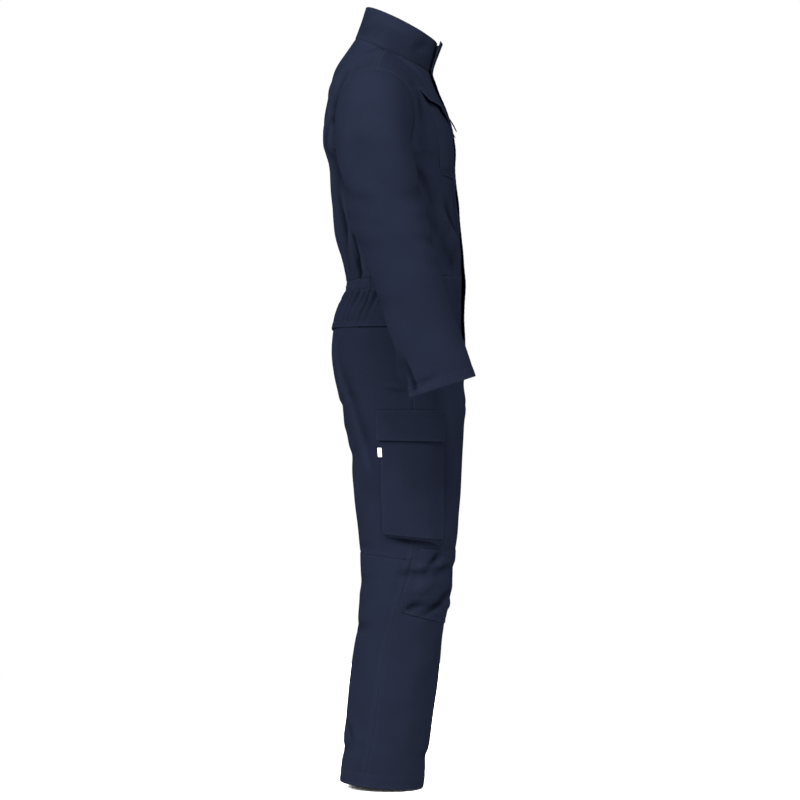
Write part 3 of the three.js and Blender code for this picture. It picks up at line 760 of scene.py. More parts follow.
def shell(data: MeshData, cloth: Cloth, thickness: Array | float, round_by: float = 0.35) -> None:
    """Adds a cloth as a closed shell with a rounded rim.

    Args:
        data: Where the shell is added.
        cloth: The cloth.
        thickness: How thick it is, all over or at each point.
        round_by: How far the middle of the rim stands out, as a share of the thickness.
    """
    outer = cloth.surface()
    deep = np.broadcast_to(np.asarray(thickness, float), outer.shape[:2])[..., None]
    inner = outer - cloth.normals * deep
    rows, columns = outer.shape[:2]
    index = np.arange(rows * columns).reshape(rows, columns)
    a, b, c, d = index[:-1, :-1], index[1:, :-1], index[1:, 1:], index[:-1, 1:]
    front = np.stack([a, b, c, d], -1).reshape(-1, 4)
    back = np.stack([a, d, c, b], -1).reshape(-1, 4) + rows * columns
    loop = np.concatenate([index[0, :-1], index[:-1, -1], index[-1, :0:-1], index[:0:-1, 0]])
    inside = np.concatenate([index[1, :-1], index[:-1, -2], index[-2, :0:-1], index[:0:-1, 1]])
    flat_outer, flat_inner = outer.reshape(-1, 3), inner.reshape(-1, 3)
    away = unit(flat_outer[loop] - flat_outer[inside])
    middle = (flat_outer[loop] + flat_inner[loop]) / 2 + away * deep.reshape(-1, 1)[loop] * round_by
    count = len(loop)
    rim = 2 * rows * columns + np.arange(count)
    after = np.roll(np.arange(count), -1)
    upper = np.stack([loop, loop[after], rim[after], rim], -1)
    lower = np.stack([rim, rim[after], loop[after] + rows * columns, loop + rows * columns], -1)
    faces = np.concatenate([front, back, upper, lower])
    if cloth.mirrored:
        faces = faces[:, ::-1]
    places = np.stack(cloth.grain, -1).reshape(-1, 2)
    closest = np.min(np.stack([cloth.edge[e] for e in Edge]), axis=0).ravel()
    # Real wear at the edges and ridges; below 0, painted shade in the creases.
    crease = (cloth.relief - softened(cloth.relief)).ravel()
    worn = np.exp(-closest / EDGE_REACH) * EDGE_WORN + np.clip(crease / RIDGE_MM, 0, RIDGE_WORN)
    worn += np.clip(crease / CREASE_SHADE_MM, -1.0, 0)
    points = np.concatenate([flat_outer, flat_inner, middle])
    uvs = np.concatenate([places, places, places[loop]])
    data.add(points, faces, uvs, np.concatenate([worn, worn * 0.5, np.ones(count)]))


@dataclass
class Threads:
    """Rows of stitches, gathered for one object."""

    length: float = 2.4
    pitch: float = 3.3
    wide: float = 0.8
    high: float = 0.45
    bar_pitch: float = 0.9
    bar_half: float = 1.6
    bar_stitch: tuple[float, float] = (3.4, 3.0)
    data: MeshData = field(default_factory=MeshData)

    def sew(self, points: Array, normals: Array) -> None:
        """Adds a row of stitches along a line.

        Args:
            points: The line's points.
            normals: The way out of the cloth at each.
        """
        if len(points) < 2:
            return
        along = np.pad(np.cumsum(np.linalg.norm(np.diff(points, axis=0), axis=1)), (1, 0))
        count = int(along[-1] // self.pitch)
        if count < 1:
            return
        at = (np.arange(count) + 0.5) * along[-1] / count

        def pick(values: Array, places: Array) -> Array:
            """Values between the line's points."""
            return np.stack([np.interp(places, along, values[:, k]) for k in range(3)], -1)

        centre, out = pick(points, at), unit(pick(normals, at))
        way = unit(pick(points, at + 0.6) - pick(points, at - 0.6))
        over = unit(np.cross(way, out))
        half, wide = self.length / 2, self.wide / 2
        corners = np.stack(
            [
                centre - way * half - out * 0.25,
                centre + over * wide - out * 0.1,
                centre + way * half - out * 0.25,
                centre - over * wide - out * 0.1,
                centre + out * self.high,
                centre - out * 0.5,
            ],
            axis=1,
        )
        upper = [[0, 3, 4], [3, 2, 4], [2, 1, 4], [1, 0, 4]]
        lower = [[3, 0, 5], [2, 3, 5], [1, 2, 5], [0, 1, 5]]
        pattern = np.array(upper + lower)
        faces = (pattern[None] + 6 * np.arange(count)[:, None, None]).reshape(-1, 3)[:, ::-1]
        uvs = np.repeat(np.stack([at, np.zeros(count)], -1), 6, axis=0)
        self.data.add(corners, faces, uvs)

    def bartack(self, centre: Array, way: Array, out: Array, long: float = 9.0) -> None:
        """Adds a short bar of close stitches.

        Args:
            centre: Its middle.
            way: The direction that it runs in.
            out: The way out of the cloth.
            long: Its length.
        """
        way = unit(way - out * np.dot(way, out))
        over = np.cross(out, way)
        count = int(long / self.bar_pitch)
        kept = self.length, self.pitch
        self.length, self.pitch = self.bar_stitch
        for i in range(count):
            middle = centre + way * (i / (count - 1) - 0.5) * long
            line = np.stack([middle - over * self.bar_half, middle + over * self.bar_half])
            self.sew(line, np.stack([out, out]))
        self.length, self.pitch = kept


# Finishes


class Nodes:
    """Adds the nodes of one material."""

    def __init__(self, name: str) -> None:
        """Starts a material with a Principled shader.

        Args:
            name: The material's name.
        """
        self.material = bpy.data.materials.new(name)
        self.material.use_nodes = True
        self.tree = self.material.node_tree
        self.shader = self.tree.nodes["Principled BSDF"]

    def add(self, kind: str, settings: dict[str, object] | None = None, **inputs: object) -> bpy.types.Node:
        """Adds a node.

        Args:
            kind: The node's type.
            settings: Its properties.
            inputs: Its sockets, with _ for a space: a value, or a socket that is linked to it.

        Returns:
            The node.
        """
        node = self.tree.nodes.new(kind)
        for key, value in (settings or {}).items():
            setattr(node, key, value)
        for key, value in inputs.items():
            socket = node.inputs[int(key[1:])] if key[0] == "i" and key[1:].isdigit() else node.inputs[key]
            self.set(socket, value)
        return node

    def set(self, socket: bpy.types.NodeSocket, value: object) -> None:
        """Gives a socket a value, or links one to it.

        Args:
            socket: The socket.
            value: The value, or the socket that is linked.
        """
        if isinstance(value, bpy.types.NodeSocket):
            self.tree.links.new(value, socket)
        else:
            socket.default_value = value

    def cloth_place(self) -> bpy.types.NodeSocket:
        """The place on the flat cloth, in metres."""
        return self.add("ShaderNodeUVMap", {"uv_map": "cloth"}).outputs["UV"]

    def noise(self, place: bpy.types.NodeSocket, per_metre: float, detail: float = 3) -> bpy.types.NodeSocket:
        """Soft uneven values from 0 to 1."""
        made = self.add("ShaderNodeTexNoise", Vector=place, Scale=per_metre, Detail=detail, Roughness=0.55)
        return made.outputs["Fac"]

    def spread(
        self, value: bpy.types.NodeSocket, low: float, high: float, to: tuple[float, float]
    ) -> bpy.types.NodeSocket:
        """Carries the values between low and high to another range."""
        made = self.add("ShaderNodeMapRange", i0=value, i1=low, i2=high, i3=to[0], i4=to[1])
        return made.outputs["Result"]

    def mix(self, share: object, first: object, second: object, how: str = "MIX") -> bpy.types.NodeSocket:
        """Mixes two colours."""
        kind = {"data_type": "RGBA", "blend_type": how}
        return self.add("ShaderNodeMix", kind, i0=share, i6=first, i7=second).outputs[2]

    def maths(self, how: str, first: object, second: object) -> bpy.types.NodeSocket:
        """A sum or product of two values."""
        return self.add("ShaderNodeMath", {"operation": how}, i0=first, i1=second).outputs[0]

    def shade(self, **values: object) -> None:
        """Sets the shader's sockets, with _ for a space."""
        for key, value in values.items():
            self.set(self.shader.inputs[key.replace("_", " ")], value)

    def bump(self, height: bpy.types.NodeSocket, strength: float, distance_m: float) -> bpy.types.NodeSocket:
        """The normal of a fine relief."""
        made = self.add("ShaderNodeBump", Height=height, Strength=strength, Distance=distance_m)
        return made.outputs["Normal"]


Colour = tuple[float, float, float, float]


@dataclass(frozen=True)
class Twill:
    """Woven cloth with a fine diagonal line, paler where it is worn, with painted shade darkening its
    creases.
    """

    name: str
    colour: Colour
    worn_colour: Colour
    line_mm: float = 1.1
    sheen: float = 0.0
    roughness: float = 0.95
    gloss: float = 0.0
    relief: float = 0.25
    # how dark the painted shade makes the deepest creases
    crease_shade_tone: float = 0.4

    def make(self) -> bpy.types.Material:
        """Makes the material.

        Returns:
            The material.
        """
        nodes = Nodes(self.name)
        place = nodes.cloth_place()
        cloudy = nodes.noise(place, 11)
        drawn_out = nodes.add("ShaderNodeMapping", Vector=place, Scale=(260.0, 38.0, 1.0)).outputs[0]
        slubs = nodes.noise(drawn_out, 5, 2)
        heather = nodes.noise(place, 1300, 2)
        twill = nodes.add(
            "ShaderNodeTexWave",
            {"wave_type": "BANDS", "bands_direction": "DIAGONAL"},
            Vector=place,
            Scale=628 / self.line_mm,
            Distortion=0.6,
            Detail=1.0,
        ).outputs["Fac"]
        # Real wear above 0, and below 0 how deep the painted crease shade is.
        wear_and_crease_shade = nodes.add("ShaderNodeAttribute", {"attribute_name": "wear"}).outputs["Fac"]
        patchy = nodes.spread(nodes.noise(place, 90), 0.35, 0.7, (0.25, 1.0))
        worn = nodes.maths("MULTIPLY", nodes.maths("MULTIPLY", wear_and_crease_shade, patchy), 0.45)
        base = nodes.mix(worn, self.colour, self.worn_colour)
        yarns = nodes.spread(heather, 0.3, 0.7, (0.9, 1.1))
        weave = nodes.maths("MULTIPLY", yarns, nodes.spread(twill, 0, 1, (0.93, 1.06)))
        uneven = nodes.maths("MULTIPLY", nodes.spread(slubs, 0.3, 0.7, (0.96, 1.04)), weave)
        tone = nodes.maths("MULTIPLY", nodes.spread(cloudy, 0.3, 0.7, (0.93, 1.07)), uneven)
        # Painted shade: darkens the cloth in its creases.
        tone = nodes.maths("MULTIPLY", tone, nodes.spread(wear_and_crease_shade, -1.0, 0.0, (self.crease_shade_tone, 1.0)))
        toned = nodes.add("ShaderNodeCombineColor", Red=tone, Green=tone, Blue=tone).outputs[0]
        height = nodes.maths("ADD", twill, nodes.maths("MULTIPLY", heather, 0.8))
        nodes.shade(
            Base_Color=nodes.mix(1.0, base, toned, "MULTIPLY"),
            Roughness=self.roughness,
            Sheen_Weight=self.sheen,
            Sheen_Roughness=0.45,
            Sheen_Tint=(0.7, 0.78, 1.0, 1.0),
            Specular_IOR_Level=self.gloss,
            Normal=nodes.bump(height, self.relief, 0.0002),
        )
        return nodes.material


@dataclass(frozen=True)
class Yarn:
    """Twisted sewing thread."""

    name: str
    colour: Colour
    pale: Colour

    def make(self) -> bpy.types.Material:
        """Makes the material.

        Returns:
            The material.
        """
        nodes = Nodes(self.name)
        place = nodes.cloth_place()
        uneven = nodes.noise(place, 420, 2)
        nodes.shade(
            Base_Color=nodes.mix(nodes.spread(uneven, 0.3, 0.7, (0, 1)), self.colour, self.pale),
            Roughness=0.6,
            Specular_IOR_Level=0.1,
            Normal=nodes.bump(nodes.noise(place, 2600, 1), 0.3, 0.0002),
        )
        return nodes.material


@dataclass(frozen=True)
class Moulded:
    """Moulded plastic of the zip's teeth."""

    name: str
    colour: Colour

    def make(self) -> bpy.types.Material:
        """Makes the material.

        Returns:
            The material.
        """
        nodes = Nodes(self.name)
        place = nodes.add("ShaderNodeTexCoord").outputs["Object"]
        uneven = nodes.noise(place, 220, 2)
        dark = tuple(0.7 * c for c in self.colour[:3]) + (1.0,)
        nodes.shade(
            Base_Color=nodes.mix(nodes.spread(uneven, 0.3, 0.7, (0, 1)), self.colour, dark),
            Roughness=nodes.spread(uneven, 0.2, 0.8, (0.32, 0.5)),
            Normal=nodes.bump(nodes.noise(place, 1800, 2), 0.12, 0.0002),
        )
        return nodes.material


@dataclass
class Wardrobe:
    """The finishes of the suit."""

    cloth: bpy.types.Material = field(init=False)
    tape: bpy.types.Material = field(init=False)
    thread: bpy.types.Material = field(init=False)
    label: bpy.types.Material = field(init=False)
    teeth: bpy.types.Material = field(init=False)

    def __post_init__(self) -> None:
        """Makes each material once."""
        self.cloth = Twill("navy_twill", (0.0040, 0.0051, 0.0098, 1), (0.0099, 0.0122, 0.0199, 1)).make()
        self.tape = Twill(
            "zip_tape_weave", (0.0025, 0.0031, 0.0058, 1), (0.006, 0.0074, 0.0125, 1), line_mm=0.7
        ).make()
        self.thread = Yarn("navy_thread", (0.0044, 0.0056, 0.0107, 1), (0.0070, 0.0087, 0.0152, 1)).make()
        self.label = Twill(
            "white_label_weave", (0.33, 0.33, 0.325, 1), (0.4, 0.4, 0.39, 1), line_mm=0.6, relief=0.15
        ).make()
        self.teeth = Moulded("zip_teeth_plastic", (0.007, 0.008, 0.012, 1)).make()


# Panels


SEAM_TUCK, SEAM_SPREAD, SEAM_OVERLAP = 1.0, 1.2, 0.35
FELL_HIGH, FELL_WIDE = 0.3, 9.0
STITCH_DEEP, STITCH_SPREAD = 0.35, 1.0
CLOTH_MM, HEM_MM = 0.9, 1.9
PUCKER_MM, PUCKER_HIGH = 10.5, 0.22  # how far apart a seam's puckers are, and how high
HEM_HIGH, ROPE_MM, ROPE_HIGH = 0.55, 13.0, 0.28  # a turned hem's height, and the rope-like twist along it
HEM_STITCH, THREAD_END = 1.6, 3.0  # how far a hem's row lies below its top, and rows end short of a corner
LAID_REACH = 11.0  # how far inside a sewn-down edge its solid stands clear of the cloth beneath


@dataclass
class Panel:
    """One cut piece of cloth: which solid it dresses, and how its edges are sewn."""

    node: str
    edges: dict[Edge, Sewn]
    stitches: dict[Edge, tuple[float, ...]] = field(default_factory=dict)
    hem: float = 24.0
    thickness: float = CLOTH_MM
    spacing: float = 4.6
    tube: bool = False
    across: bool = False
    even: bool = True
    gap: float = 0.0
    cloth: Cloth = field(init=False)

    def read(
        self, nodes: dict[str, bpy.types.Object], change: Callable[[Lattice], Lattice] | None = None
    ) -> Cloth:
        """Draws the panel's cloth from its solid.

        Args:
            nodes: The part's nodes.
            change: A change to the lattice before it is drawn.

        Returns:
            The cloth.
        """
        lattice = SolidReader(nodes[self.node]).lattice(self.tube, self.across)
        if change:
            lattice = change(lattice)
        self.cloth = draw_cloth(self.node, lattice, self.spacing, self._lines(), self.even, self.tube)
        return self.cloth

    def _lines(self) -> dict[Edge, list[float]]:
        """Says where the fine grid needs a line.

        Returns:
            For each edge, the distances from it.
        """
        lines: dict[Edge, list[float]] = {}
        for edge, sewn in self.edges.items():
            wanted = [0.8, 1.8, 3.2] if sewn is not Sewn.HEM else [0.7, 2.0]
            if sewn is Sewn.HEM:
                wanted += [self.hem + d for d in (-2.6, -1.5, -0.4, 0.7, 2.2)]
            for at in self.stitches.get(edge, ()):
                wanted += [at - 1.1, at, at + 1.1]
            lines[edge] = sorted(d for d in set(wanted) if d > 0.3)
        return lines

    def finish_edges(self) -> None:
        """Gives the cloth its seams, hems, puckers and the grooves of its stitches."""
        cloth = self.cloth
        across, down = cloth.grain
        seed = sum(map(ord, self.node.replace("_left", "_side").replace("_right", "_side")))
        for number, (edge, sewn) in enumerate(self.edges.items()):
            gap = cloth.edge[edge]
            along = down if edge in (Edge.LEFT, Edge.RIGHT) else across
            pucker = np.sin(2 * math.pi * along / PUCKER_MM + 2.2 * waves(across, down, 60, seed + number))
            if sewn is Sewn.SEAM:
                cloth.relief -= SEAM_TUCK * np.exp(-((gap / SEAM_SPREAD) ** 2))
                cloth.relief += PUCKER_HIGH * pucker * np.exp(-gap / 8)
                if self.stitches.get(edge):
                    cloth.relief += FELL_HIGH * (1 - smooth_step(gap, FELL_WIDE - 0.8, FELL_WIDE + 1.2))
            elif sewn is Sewn.HEM:
                cloth.relief += HEM_HIGH * (1 - smooth_step(gap, self.hem - 1.2, self.hem + 1.0))
                cloth.relief -= 0.45 * cloth.near(edge, self.hem - HEM_STITCH, 1.1)
                slant = 2 * math.pi * (along + 0.7 * gap) / ROPE_MM
                rope = np.sin(slant + 1.5 * waves(across, down, 70, seed))
                cloth.relief += ROPE_HIGH * rope * np.exp(-(((gap - self.hem / 2) / (self.hem / 2.2)) ** 2))
                cloth.relief += 0.9 * waves(along, 0 * along, 70, seed + 5, 5) * np.exp(-gap / 30)
            else:
                cloth.relief -= 0.4 * np.exp(-gap / 0.7)
                cloth.relief += 0.16 * pucker * np.exp(-gap / 7)
                if sewn is Sewn.LAID:
                    cloth.relief -= self.gap * np.exp(-((gap / LAID_REACH) ** 2))
            for at in self.stitches.get(edge, ()):
                cloth.relief -= STITCH_DEEP * cloth.near(edge, at, STITCH_SPREAD)

    def close_seams(self) -> None:
        """Draws the cloth's seam edges together with their neighbours."""
        points = self.cloth.points
        for edge, sewn in self.edges.items():
            if sewn is not Sewn.SEAM:
                continue
            if edge is Edge.LEFT:
                points[:, 0] += unit(points[:, 0] - points[:, 1]) * SEAM_OVERLAP
            elif edge is Edge.RIGHT:
                points[:, -1] += unit(points[:, -1] - points[:, -2]) * SEAM_OVERLAP
            elif edge is Edge.TOP:
                points[0] += unit(points[0] - points[1]) * SEAM_OVERLAP
            else:
                points[-1] += unit(points[-1] - points[-2]) * SEAM_OVERLAP

    def sew(self, threads: Threads) -> None:
        """Lays the rows of stitches on the finished cloth.

        Args:
            threads: Where the stitches are added.
        """
        for edge, sewn in self.edges.items():
            rows = list(self.stitches.get(edge, ()))
            if sewn is Sewn.HEM:
                rows.append(self.hem - HEM_STITCH)
            for at in rows:
                threads.sew(*self.cloth.line(edge, at, THREAD_END, THREAD_END))

    def walls(self) -> Array:
        """Says how thick the cloth is, more where it is turned.

        Returns:
            The thickness at each point.
        """
        deep = np.full(self.cloth.points.shape[:2], self.thickness)
        for edge, sewn in self.edges.items():
            if sewn is Sewn.HEM:
                turned = 1 - smooth_step(self.cloth.edge[edge], self.hem - 1, self.hem + 1)
                deep += (HEM_MM - self.thickness) * turned
        return deep

    def dress(
        self, threads: Threads, finish: bpy.types.Material, slot: str, held: str = "hung"
    ) -> bpy.types.Object:
        """Finishes the panel and makes its object.

        Args:
            threads: Where its stitches are added.
            finish: Its material.
            slot: The record's material slot.
            held: How the cloth is held; not used.

        Returns:
            The object, which stands for the solid.
        """
        self.finish_edges()
        self.close_seams()
        self.sew(threads)
        data = MeshData()
        shell(data, self.cloth, self.walls())
        made = data.build(f"{self.node}_cloth", finish, slot)
        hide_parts(self.node)
        self.cloth.cut_m2()
        return made


@dataclass
class Suit:
    """What every sub-assembly is built with."""

    nodes: dict[str, bpy.types.Object]
    finishes: Wardrobe
    made: list[bpy.types.Object] = field(default_factory=list)

    def keep(self, *objects: bpy.types.Object) -> None:
        """Notes the pieces that were made."""
        self.made.extend(objects)

    def stitch(self, threads: Threads, name: str) -> None:
        """Makes the object of a sub-assembly's stitches."""
        self.keep(threads.data.build(name, self.finishes.thread, "navy_cloth"))


def ease(cloth: Cloth, seed: int, height: float) -> None:
    """Gives a cloth the broad unevenness of worn cloth.

    Args:
        cloth: The cloth.
        seed: What the unevenness is drawn from.
        height: How far it moves the cloth, in mm.
    """
    x, y, z = (cloth.points[..., k] for k in range(3))
    cloth.relief += height * waves(x + 0.6 * y, z * 0.7, 150, seed)
    cloth.relief += 0.35 * height * waves(x - 0.5 * y, z * 0.8, 62, seed + 1)


def gather(cloth: Cloth, distance: Array, along: Array, height: float, reach: float, seed: int) -> None:
    """Draws a cloth into the small folds of a gathered edge.

    Args:
        cloth: The cloth.
        distance: Each point's distance from the gathered line.
        along: Its place along that line.
        height: The folds' height near the line.
        reach: How far they run.
        seed: What their spacing is drawn from.
    """
    bend = along + 5.5 * waves(along, 0 * along, 70, seed, 5)
    bend = bend + 0.05 * distance * waves(along, 0 * along, 90, seed + 1, 4)
    strong = 0.75 + 0.45 * waves(bend, 0 * along, 48, seed + 2, 5)
    fold = 1 - 2 * np.abs(np.sin(math.pi * bend / 15.5)) ** 0.8
    fine = np.sin(2 * math.pi * bend / 8.2 + 1.0)
    far = reach * np.clip(0.8 + 0.5 * waves(bend, 0 * along, 38, seed + 3, 5), 0.3, 1.6)
    cloth.relief += height * strong * fold * np.exp(-((distance / far) ** 2)) * smooth_step(distance, -4, 9)
    cloth.relief += 0.35 * height * fine * np.exp(-((distance / (0.45 * far)) ** 2))


# The folds of the suit, as drawn on the wearer's right

SLEEVE_FOLDS = (
    Fold(View.SIDE, ((2, -612), (16, -648), (32, -690)), 5, -3.6, 8),
    Fold(View.SIDE, ((-4, -640), (10, -668), (22, -692)), 6, 2.6),
    Fold(View.SIDE, ((18, -688), (46, -676), (78, -664)), 5, 1.6, 9),
    Fold(View.SIDE, ((16, -668), (40, -664), (66, -650)), 6, -1.6),
    Fold(View.SIDE, ((-60, -360), (-30, -392), (14, -402)), 16, -0.5, 26),
    Fold(View.SIDE, ((-38, -430), (-6, -452), (30, -452)), 14, 0.5, 20),
    Fold(View.SIDE, ((-112, -170), (-104, -250), (-84, -330)), 18, 1.2),
    Fold(View.SIDE, ((-18, -100), (-22, -190), (-8, -280)), 30, 1.0),
    Fold(View.FRONT, ((252, -262), (290, -300), (330, -322)), 9, -1.3, 16),
    Fold(View.FRONT, ((248, -300), (286, -334), (322, -350)), 10, 1.2),
    Fold(View.FRONT, ((246, -392), (284, -404), (330, -396)), 9, -1.8, 15),
    Fold(View.FRONT, ((250, -424), (292, -432), (336, -420)), 11, 1.0),
    Fold(View.BACK, ((250, -250), (286, -300), (332, -330)), 12, -2.2, 20),
    Fold(View.BACK, ((238, -330), (276, -372), (330, -392)), 14, 2.4),
    Fold(View.BACK, ((246, -500), (282, -520), (328, -512)), 14, -1.6, 22),
)
BODICE_FOLDS = (
    Fold(
        View.SIDE,
        ((-127, -158), (-124, -190), (-119, -253), (-110, -311), (-98, -369), (-83, -423), (-80, -462)),
        5,
        -15,
        10,
    ),
    Fold(View.SIDE, ((-112, -215), (-100, -290), (-84, -360), (-66, -420), (-62, -460)), 7, 4.5, 10),
    Fold(View.SIDE, ((-101, -66), (-114, -97), (-126, -131), (-134, -175)), 3.4, -2.6, 9),
    Fold(View.SIDE, ((-107, -112), (-118, -140), (-126, -170)), 3.0, -2.0, 6),
    Fold(View.SIDE, ((-96, -60), (-108, -90), (-120, -125), (-128, -165)), 8, 0.8),
    Fold(View.SIDE, ((46, -272), (73, -361), (100, -430)), 9, -4.4, 20),
    Fold(View.SIDE, ((60, -270), (88, -352), (106, -410)), 15, 3.6),
    Fold(View.SIDE, ((20, -300), (46, -372), (64, -440)), 12, -3.0, 18),
    Fold(View.FRONT, ((34, -120), (31, -200), (33, -300), (30, -410)), 6, 3.0, 12),
    Fold(View.FRONT, ((188, -262), (140, -330), (92, -376)), 13, -4.0, 20),
    Fold(View.FRONT, ((176, -320), (128, -378), (78, -420)), 16, 3.0),
    Fold(View.FRONT, ((168, -110), (176, -160), (190, -215)), 9, -3.4, 14),
    Fold(View.FRONT, ((72, -292), (64, -360), (70, -430)), 14, -2.2),
    Fold(View.SIDE, ((21, -83), (29, -97)), 5, -0.9),
    Fold(View.BACK, ((172, -96), (158, -170), (146, -250), (136, -340), (126, -436)), 9, -4.4, 16),
    Fold(View.BACK, ((154, -110), (140, -200), (126, -300), (112, -430)), 13, 2.2),
    Fold(View.BACK, ((88, -150), (74, -260), (66, -360), (58, -440)), 20, -2.6, 30),
    Fold(View.BACK, ((48, -300), (40, -380), (44, -446)), 14, 2.6),
    Fold(View.BACK, ((96, -330), (88, -390), (90, -446)), 10, 3.2),
    Fold(View.BACK, ((30, -250), (74, -262), (124, -240)), 22, -1.8),
)
LEG_FOLDS = (
    Fold(
        View.SIDE,
        ((-126, -566), (-122, -624), (-114, -654), (-95, -704), (-84, -738), (-69, -784), (-55, -837)),
        4,
        2.4,
        12,
    ),
    Fold(View.SIDE, ((-112, -600), (-98, -668), (-70, -738), (-52, -800)), 15, -0.9),
    Fold(View.SIDE, ((-24, -667), (-4, -669), (18, -666)), 3.2, 1.5),
    Fold(View.SIDE, ((-24, -674), (-4, -678), (16, -677)), 3.2, -1.0),
    Fold(View.SIDE, ((-24, -957), (20, -963), (74, -967)), 3.6, -3.0, 7),
    Fold(View.SIDE, ((82, -890), (81, -930), (78, -962)), 3.6, -2.6, 7),
    Fold(View.SIDE, ((48, -1018), (60, -1006), (74, -988)), 5, -3.4, 9),
    Fold(View.SIDE, ((2, -1024), (31, -1024), (96, -1012)), 5, -2.8, 11),
    Fold(View.SIDE, ((24, -1006), (56, -1018), (92, -996)), 9, 3.0),
    Fold(View.SIDE, ((104, -1030), (97, -1060), (78, -1086), (48, -1105)), 6, -5.4, 14),
    Fold(View.SIDE, ((92, -1030), (78, -1056), (56, -1076)), 11, 2.0),
    Fold(View.SIDE, ((10, -1096), (27, -1085), (50, -1083)), 6, -3.4, 10),
    Fold(View.SIDE, ((18, -1058), (44, -1052), (70, -1040)), 12, 2.4),
    Fold(View.SIDE, ((6, -1046), (15, -1019), (24, -998)), 5, -2.2, 8),
    Fold(View.SIDE, ((26, -984), (12, -1030), (4, -1052)), 6, 1.8),
    Fold(View.SIDE, ((-108, -1300), (-98, -1325), (-92, -1350)), 6, -1.6),
    Fold(View.SIDE, ((40, -1150), (30, -1230), (10, -1330)), 22, 1.6),
    Fold(View.FRONT, ((30, -640), (84, -668), (150, -650)), 12, -1.4, 20),
    Fold(View.FRONT, ((26, -676), (74, -716), (130, -722)), 14, 1.2),
    Fold(View.FRONT, ((24, -704), (60, -770), (86, -850)), 12, -1.4, 22),
    Fold(View.FRONT, ((46, -560), (62, -610), (60, -660)), 16, 2.0),
    Fold(View.FRONT, ((60, -1010), (112, -1024), (176, -1016)), 8, -1.6, 13),
    Fold(View.FRONT, ((54, -1050), (110, -1062), (180, -1040)), 10, 1.0),
    Fold(View.FRONT, ((60, -1092), (110, -1108), (186, -1088)), 7, -2.2, 14),
    Fold(View.FRONT, ((66, -1076), (116, -1082), (170, -1064)), 8, -1.0),
    Fold(View.FRONT, ((120, -1150), (126, -1250), (122, -1350)), 20, 2.2),
    Fold(View.FRONT, ((70, -1180), (84, -1290), (84, -1400)), 14, -1.8),
    Fold(View.FRONT, ((88, -1372), (124, -1386), (164, -1374)), 9, -2.2, 14),
    Fold(View.BACK, ((24, -700), (64, -716), (120, -706), (168, -684)), 9, -2.0, 16),
    Fold(View.BACK, ((20, -730), (66, -752), (130, -742)), 12, 1.4),
    Fold(View.BACK, ((22, -610), (58, -650), (70, -700)), 13, -2.6),
    Fold(View.BACK, ((40, -788), (92, -812), (160, -790)), 12, -2.2, 18),
    Fold(View.BACK, ((52, -980), (104, -992), (172, -972)), 8, -0.8, 13),
    Fold(View.BACK, ((56, -1040), (112, -1050), (180, -1030)), 9, -0.8, 14),
    Fold(View.BACK, ((60, -1062), (110, -1072), (176, -1056)), 10, 0.5),
    Fold(View.BACK, ((70, -1120), (120, -1136), (172, -1128)), 12, -2.2),
    Fold(View.BACK, ((124, -1180), (130, -1280), (126, -1390)), 22, 2.0),
    Fold(View.BACK, ((84, -1352), (126, -1370), (168, -1356)), 10, -2.0, 14),
)
COLLAR_FOLDS = (
    Fold(View.BACK, ((8, 60), (34, 40), (60, 22)), 14, -1.4),
    Fold(View.SIDE, ((-40, 54), (-10, 34), (20, 24)), 12, 1.2),
    Fold(View.SIDE, ((30, -6), (48, 8), (56, 26)), 9, -1.4),
)


@dataclass(frozen=True)
class Wear:
    """How a cloth is worn: how uneven it is all over, and its folds."""

    seed: int
    height: float
    folds: tuple[Fold, ...]

    def give(self, cloth: Cloth) -> None:
        """Makes a cloth uneven and lays its folds."""
        ease(cloth, self.seed, self.height)
        lay_folds(cloth, self.folds)


CHEST_WEAR, BACK_WEAR = Wear(11, 1.0, BODICE_FOLDS), Wear(21, 1.2, BODICE_FOLDS)
SLEEVE_WEAR, COLLAR_WEAR = Wear(41, 0.9, SLEEVE_FOLDS), Wear(71, 0.7, COLLAR_FOLDS)
LEG_WEAR, CARGO_WEAR = Wear(51, 1.1, LEG_FOLDS), Wear(51, 1.1, ())
SEAM, HEM, FREE, LAID = Sewn.SEAM, Sewn.HEM, Sewn.FREE, Sewn.LAID
LEFT, RIGHT, TOP, BOTTOM = Edge.LEFT, Edge.RIGHT, Edge.TOP, Edge.BOTTOM
SIDES = ("left", "right")
DOUBLE = (2.0, 8.0)
SINGLE = (2.0,)


# Sub-assemblies


@dataclass
class Bodice:
    """The two fronts and the back, with an action pleat at each armhole."""

    suit: Suit
    gather_mm: float = 3.2
    gather_reach: float = 62.0

    def build(self) -> None:
        """Makes the fronts, the back and their stitches."""
        threads = Threads()
        for side in SIDES:
            panel = Panel(
                f"front_{side}",
                {LEFT: LAID, RIGHT: SEAM, TOP: SEAM, BOTTOM: SEAM},
                {RIGHT: DOUBLE, TOP: SINGLE, BOTTOM: SINGLE},
            )
            cloth = panel.read(self.suit.nodes)
            CHEST_WEAR.give(cloth)
            self.suit.keep(panel.dress(threads, self.suit.finishes.cloth, "navy_cloth"))
        back = Panel("back", {LEFT: SEAM, RIGHT: SEAM, TOP: SEAM, BOTTOM: SEAM}, {TOP: ()}, across=True)
        cloth = back.read(self.suit.nodes)
        BACK_WEAR.give(cloth)
        gather(cloth, cloth.edge[BOTTOM], cloth.grain[0], self.gather_mm, self.gather_reach, 31)
        self.suit.keep(back.dress(threads, self.suit.finishes.cloth, "navy_cloth"))
        self.suit.stitch(threads, "bodice_stitching")


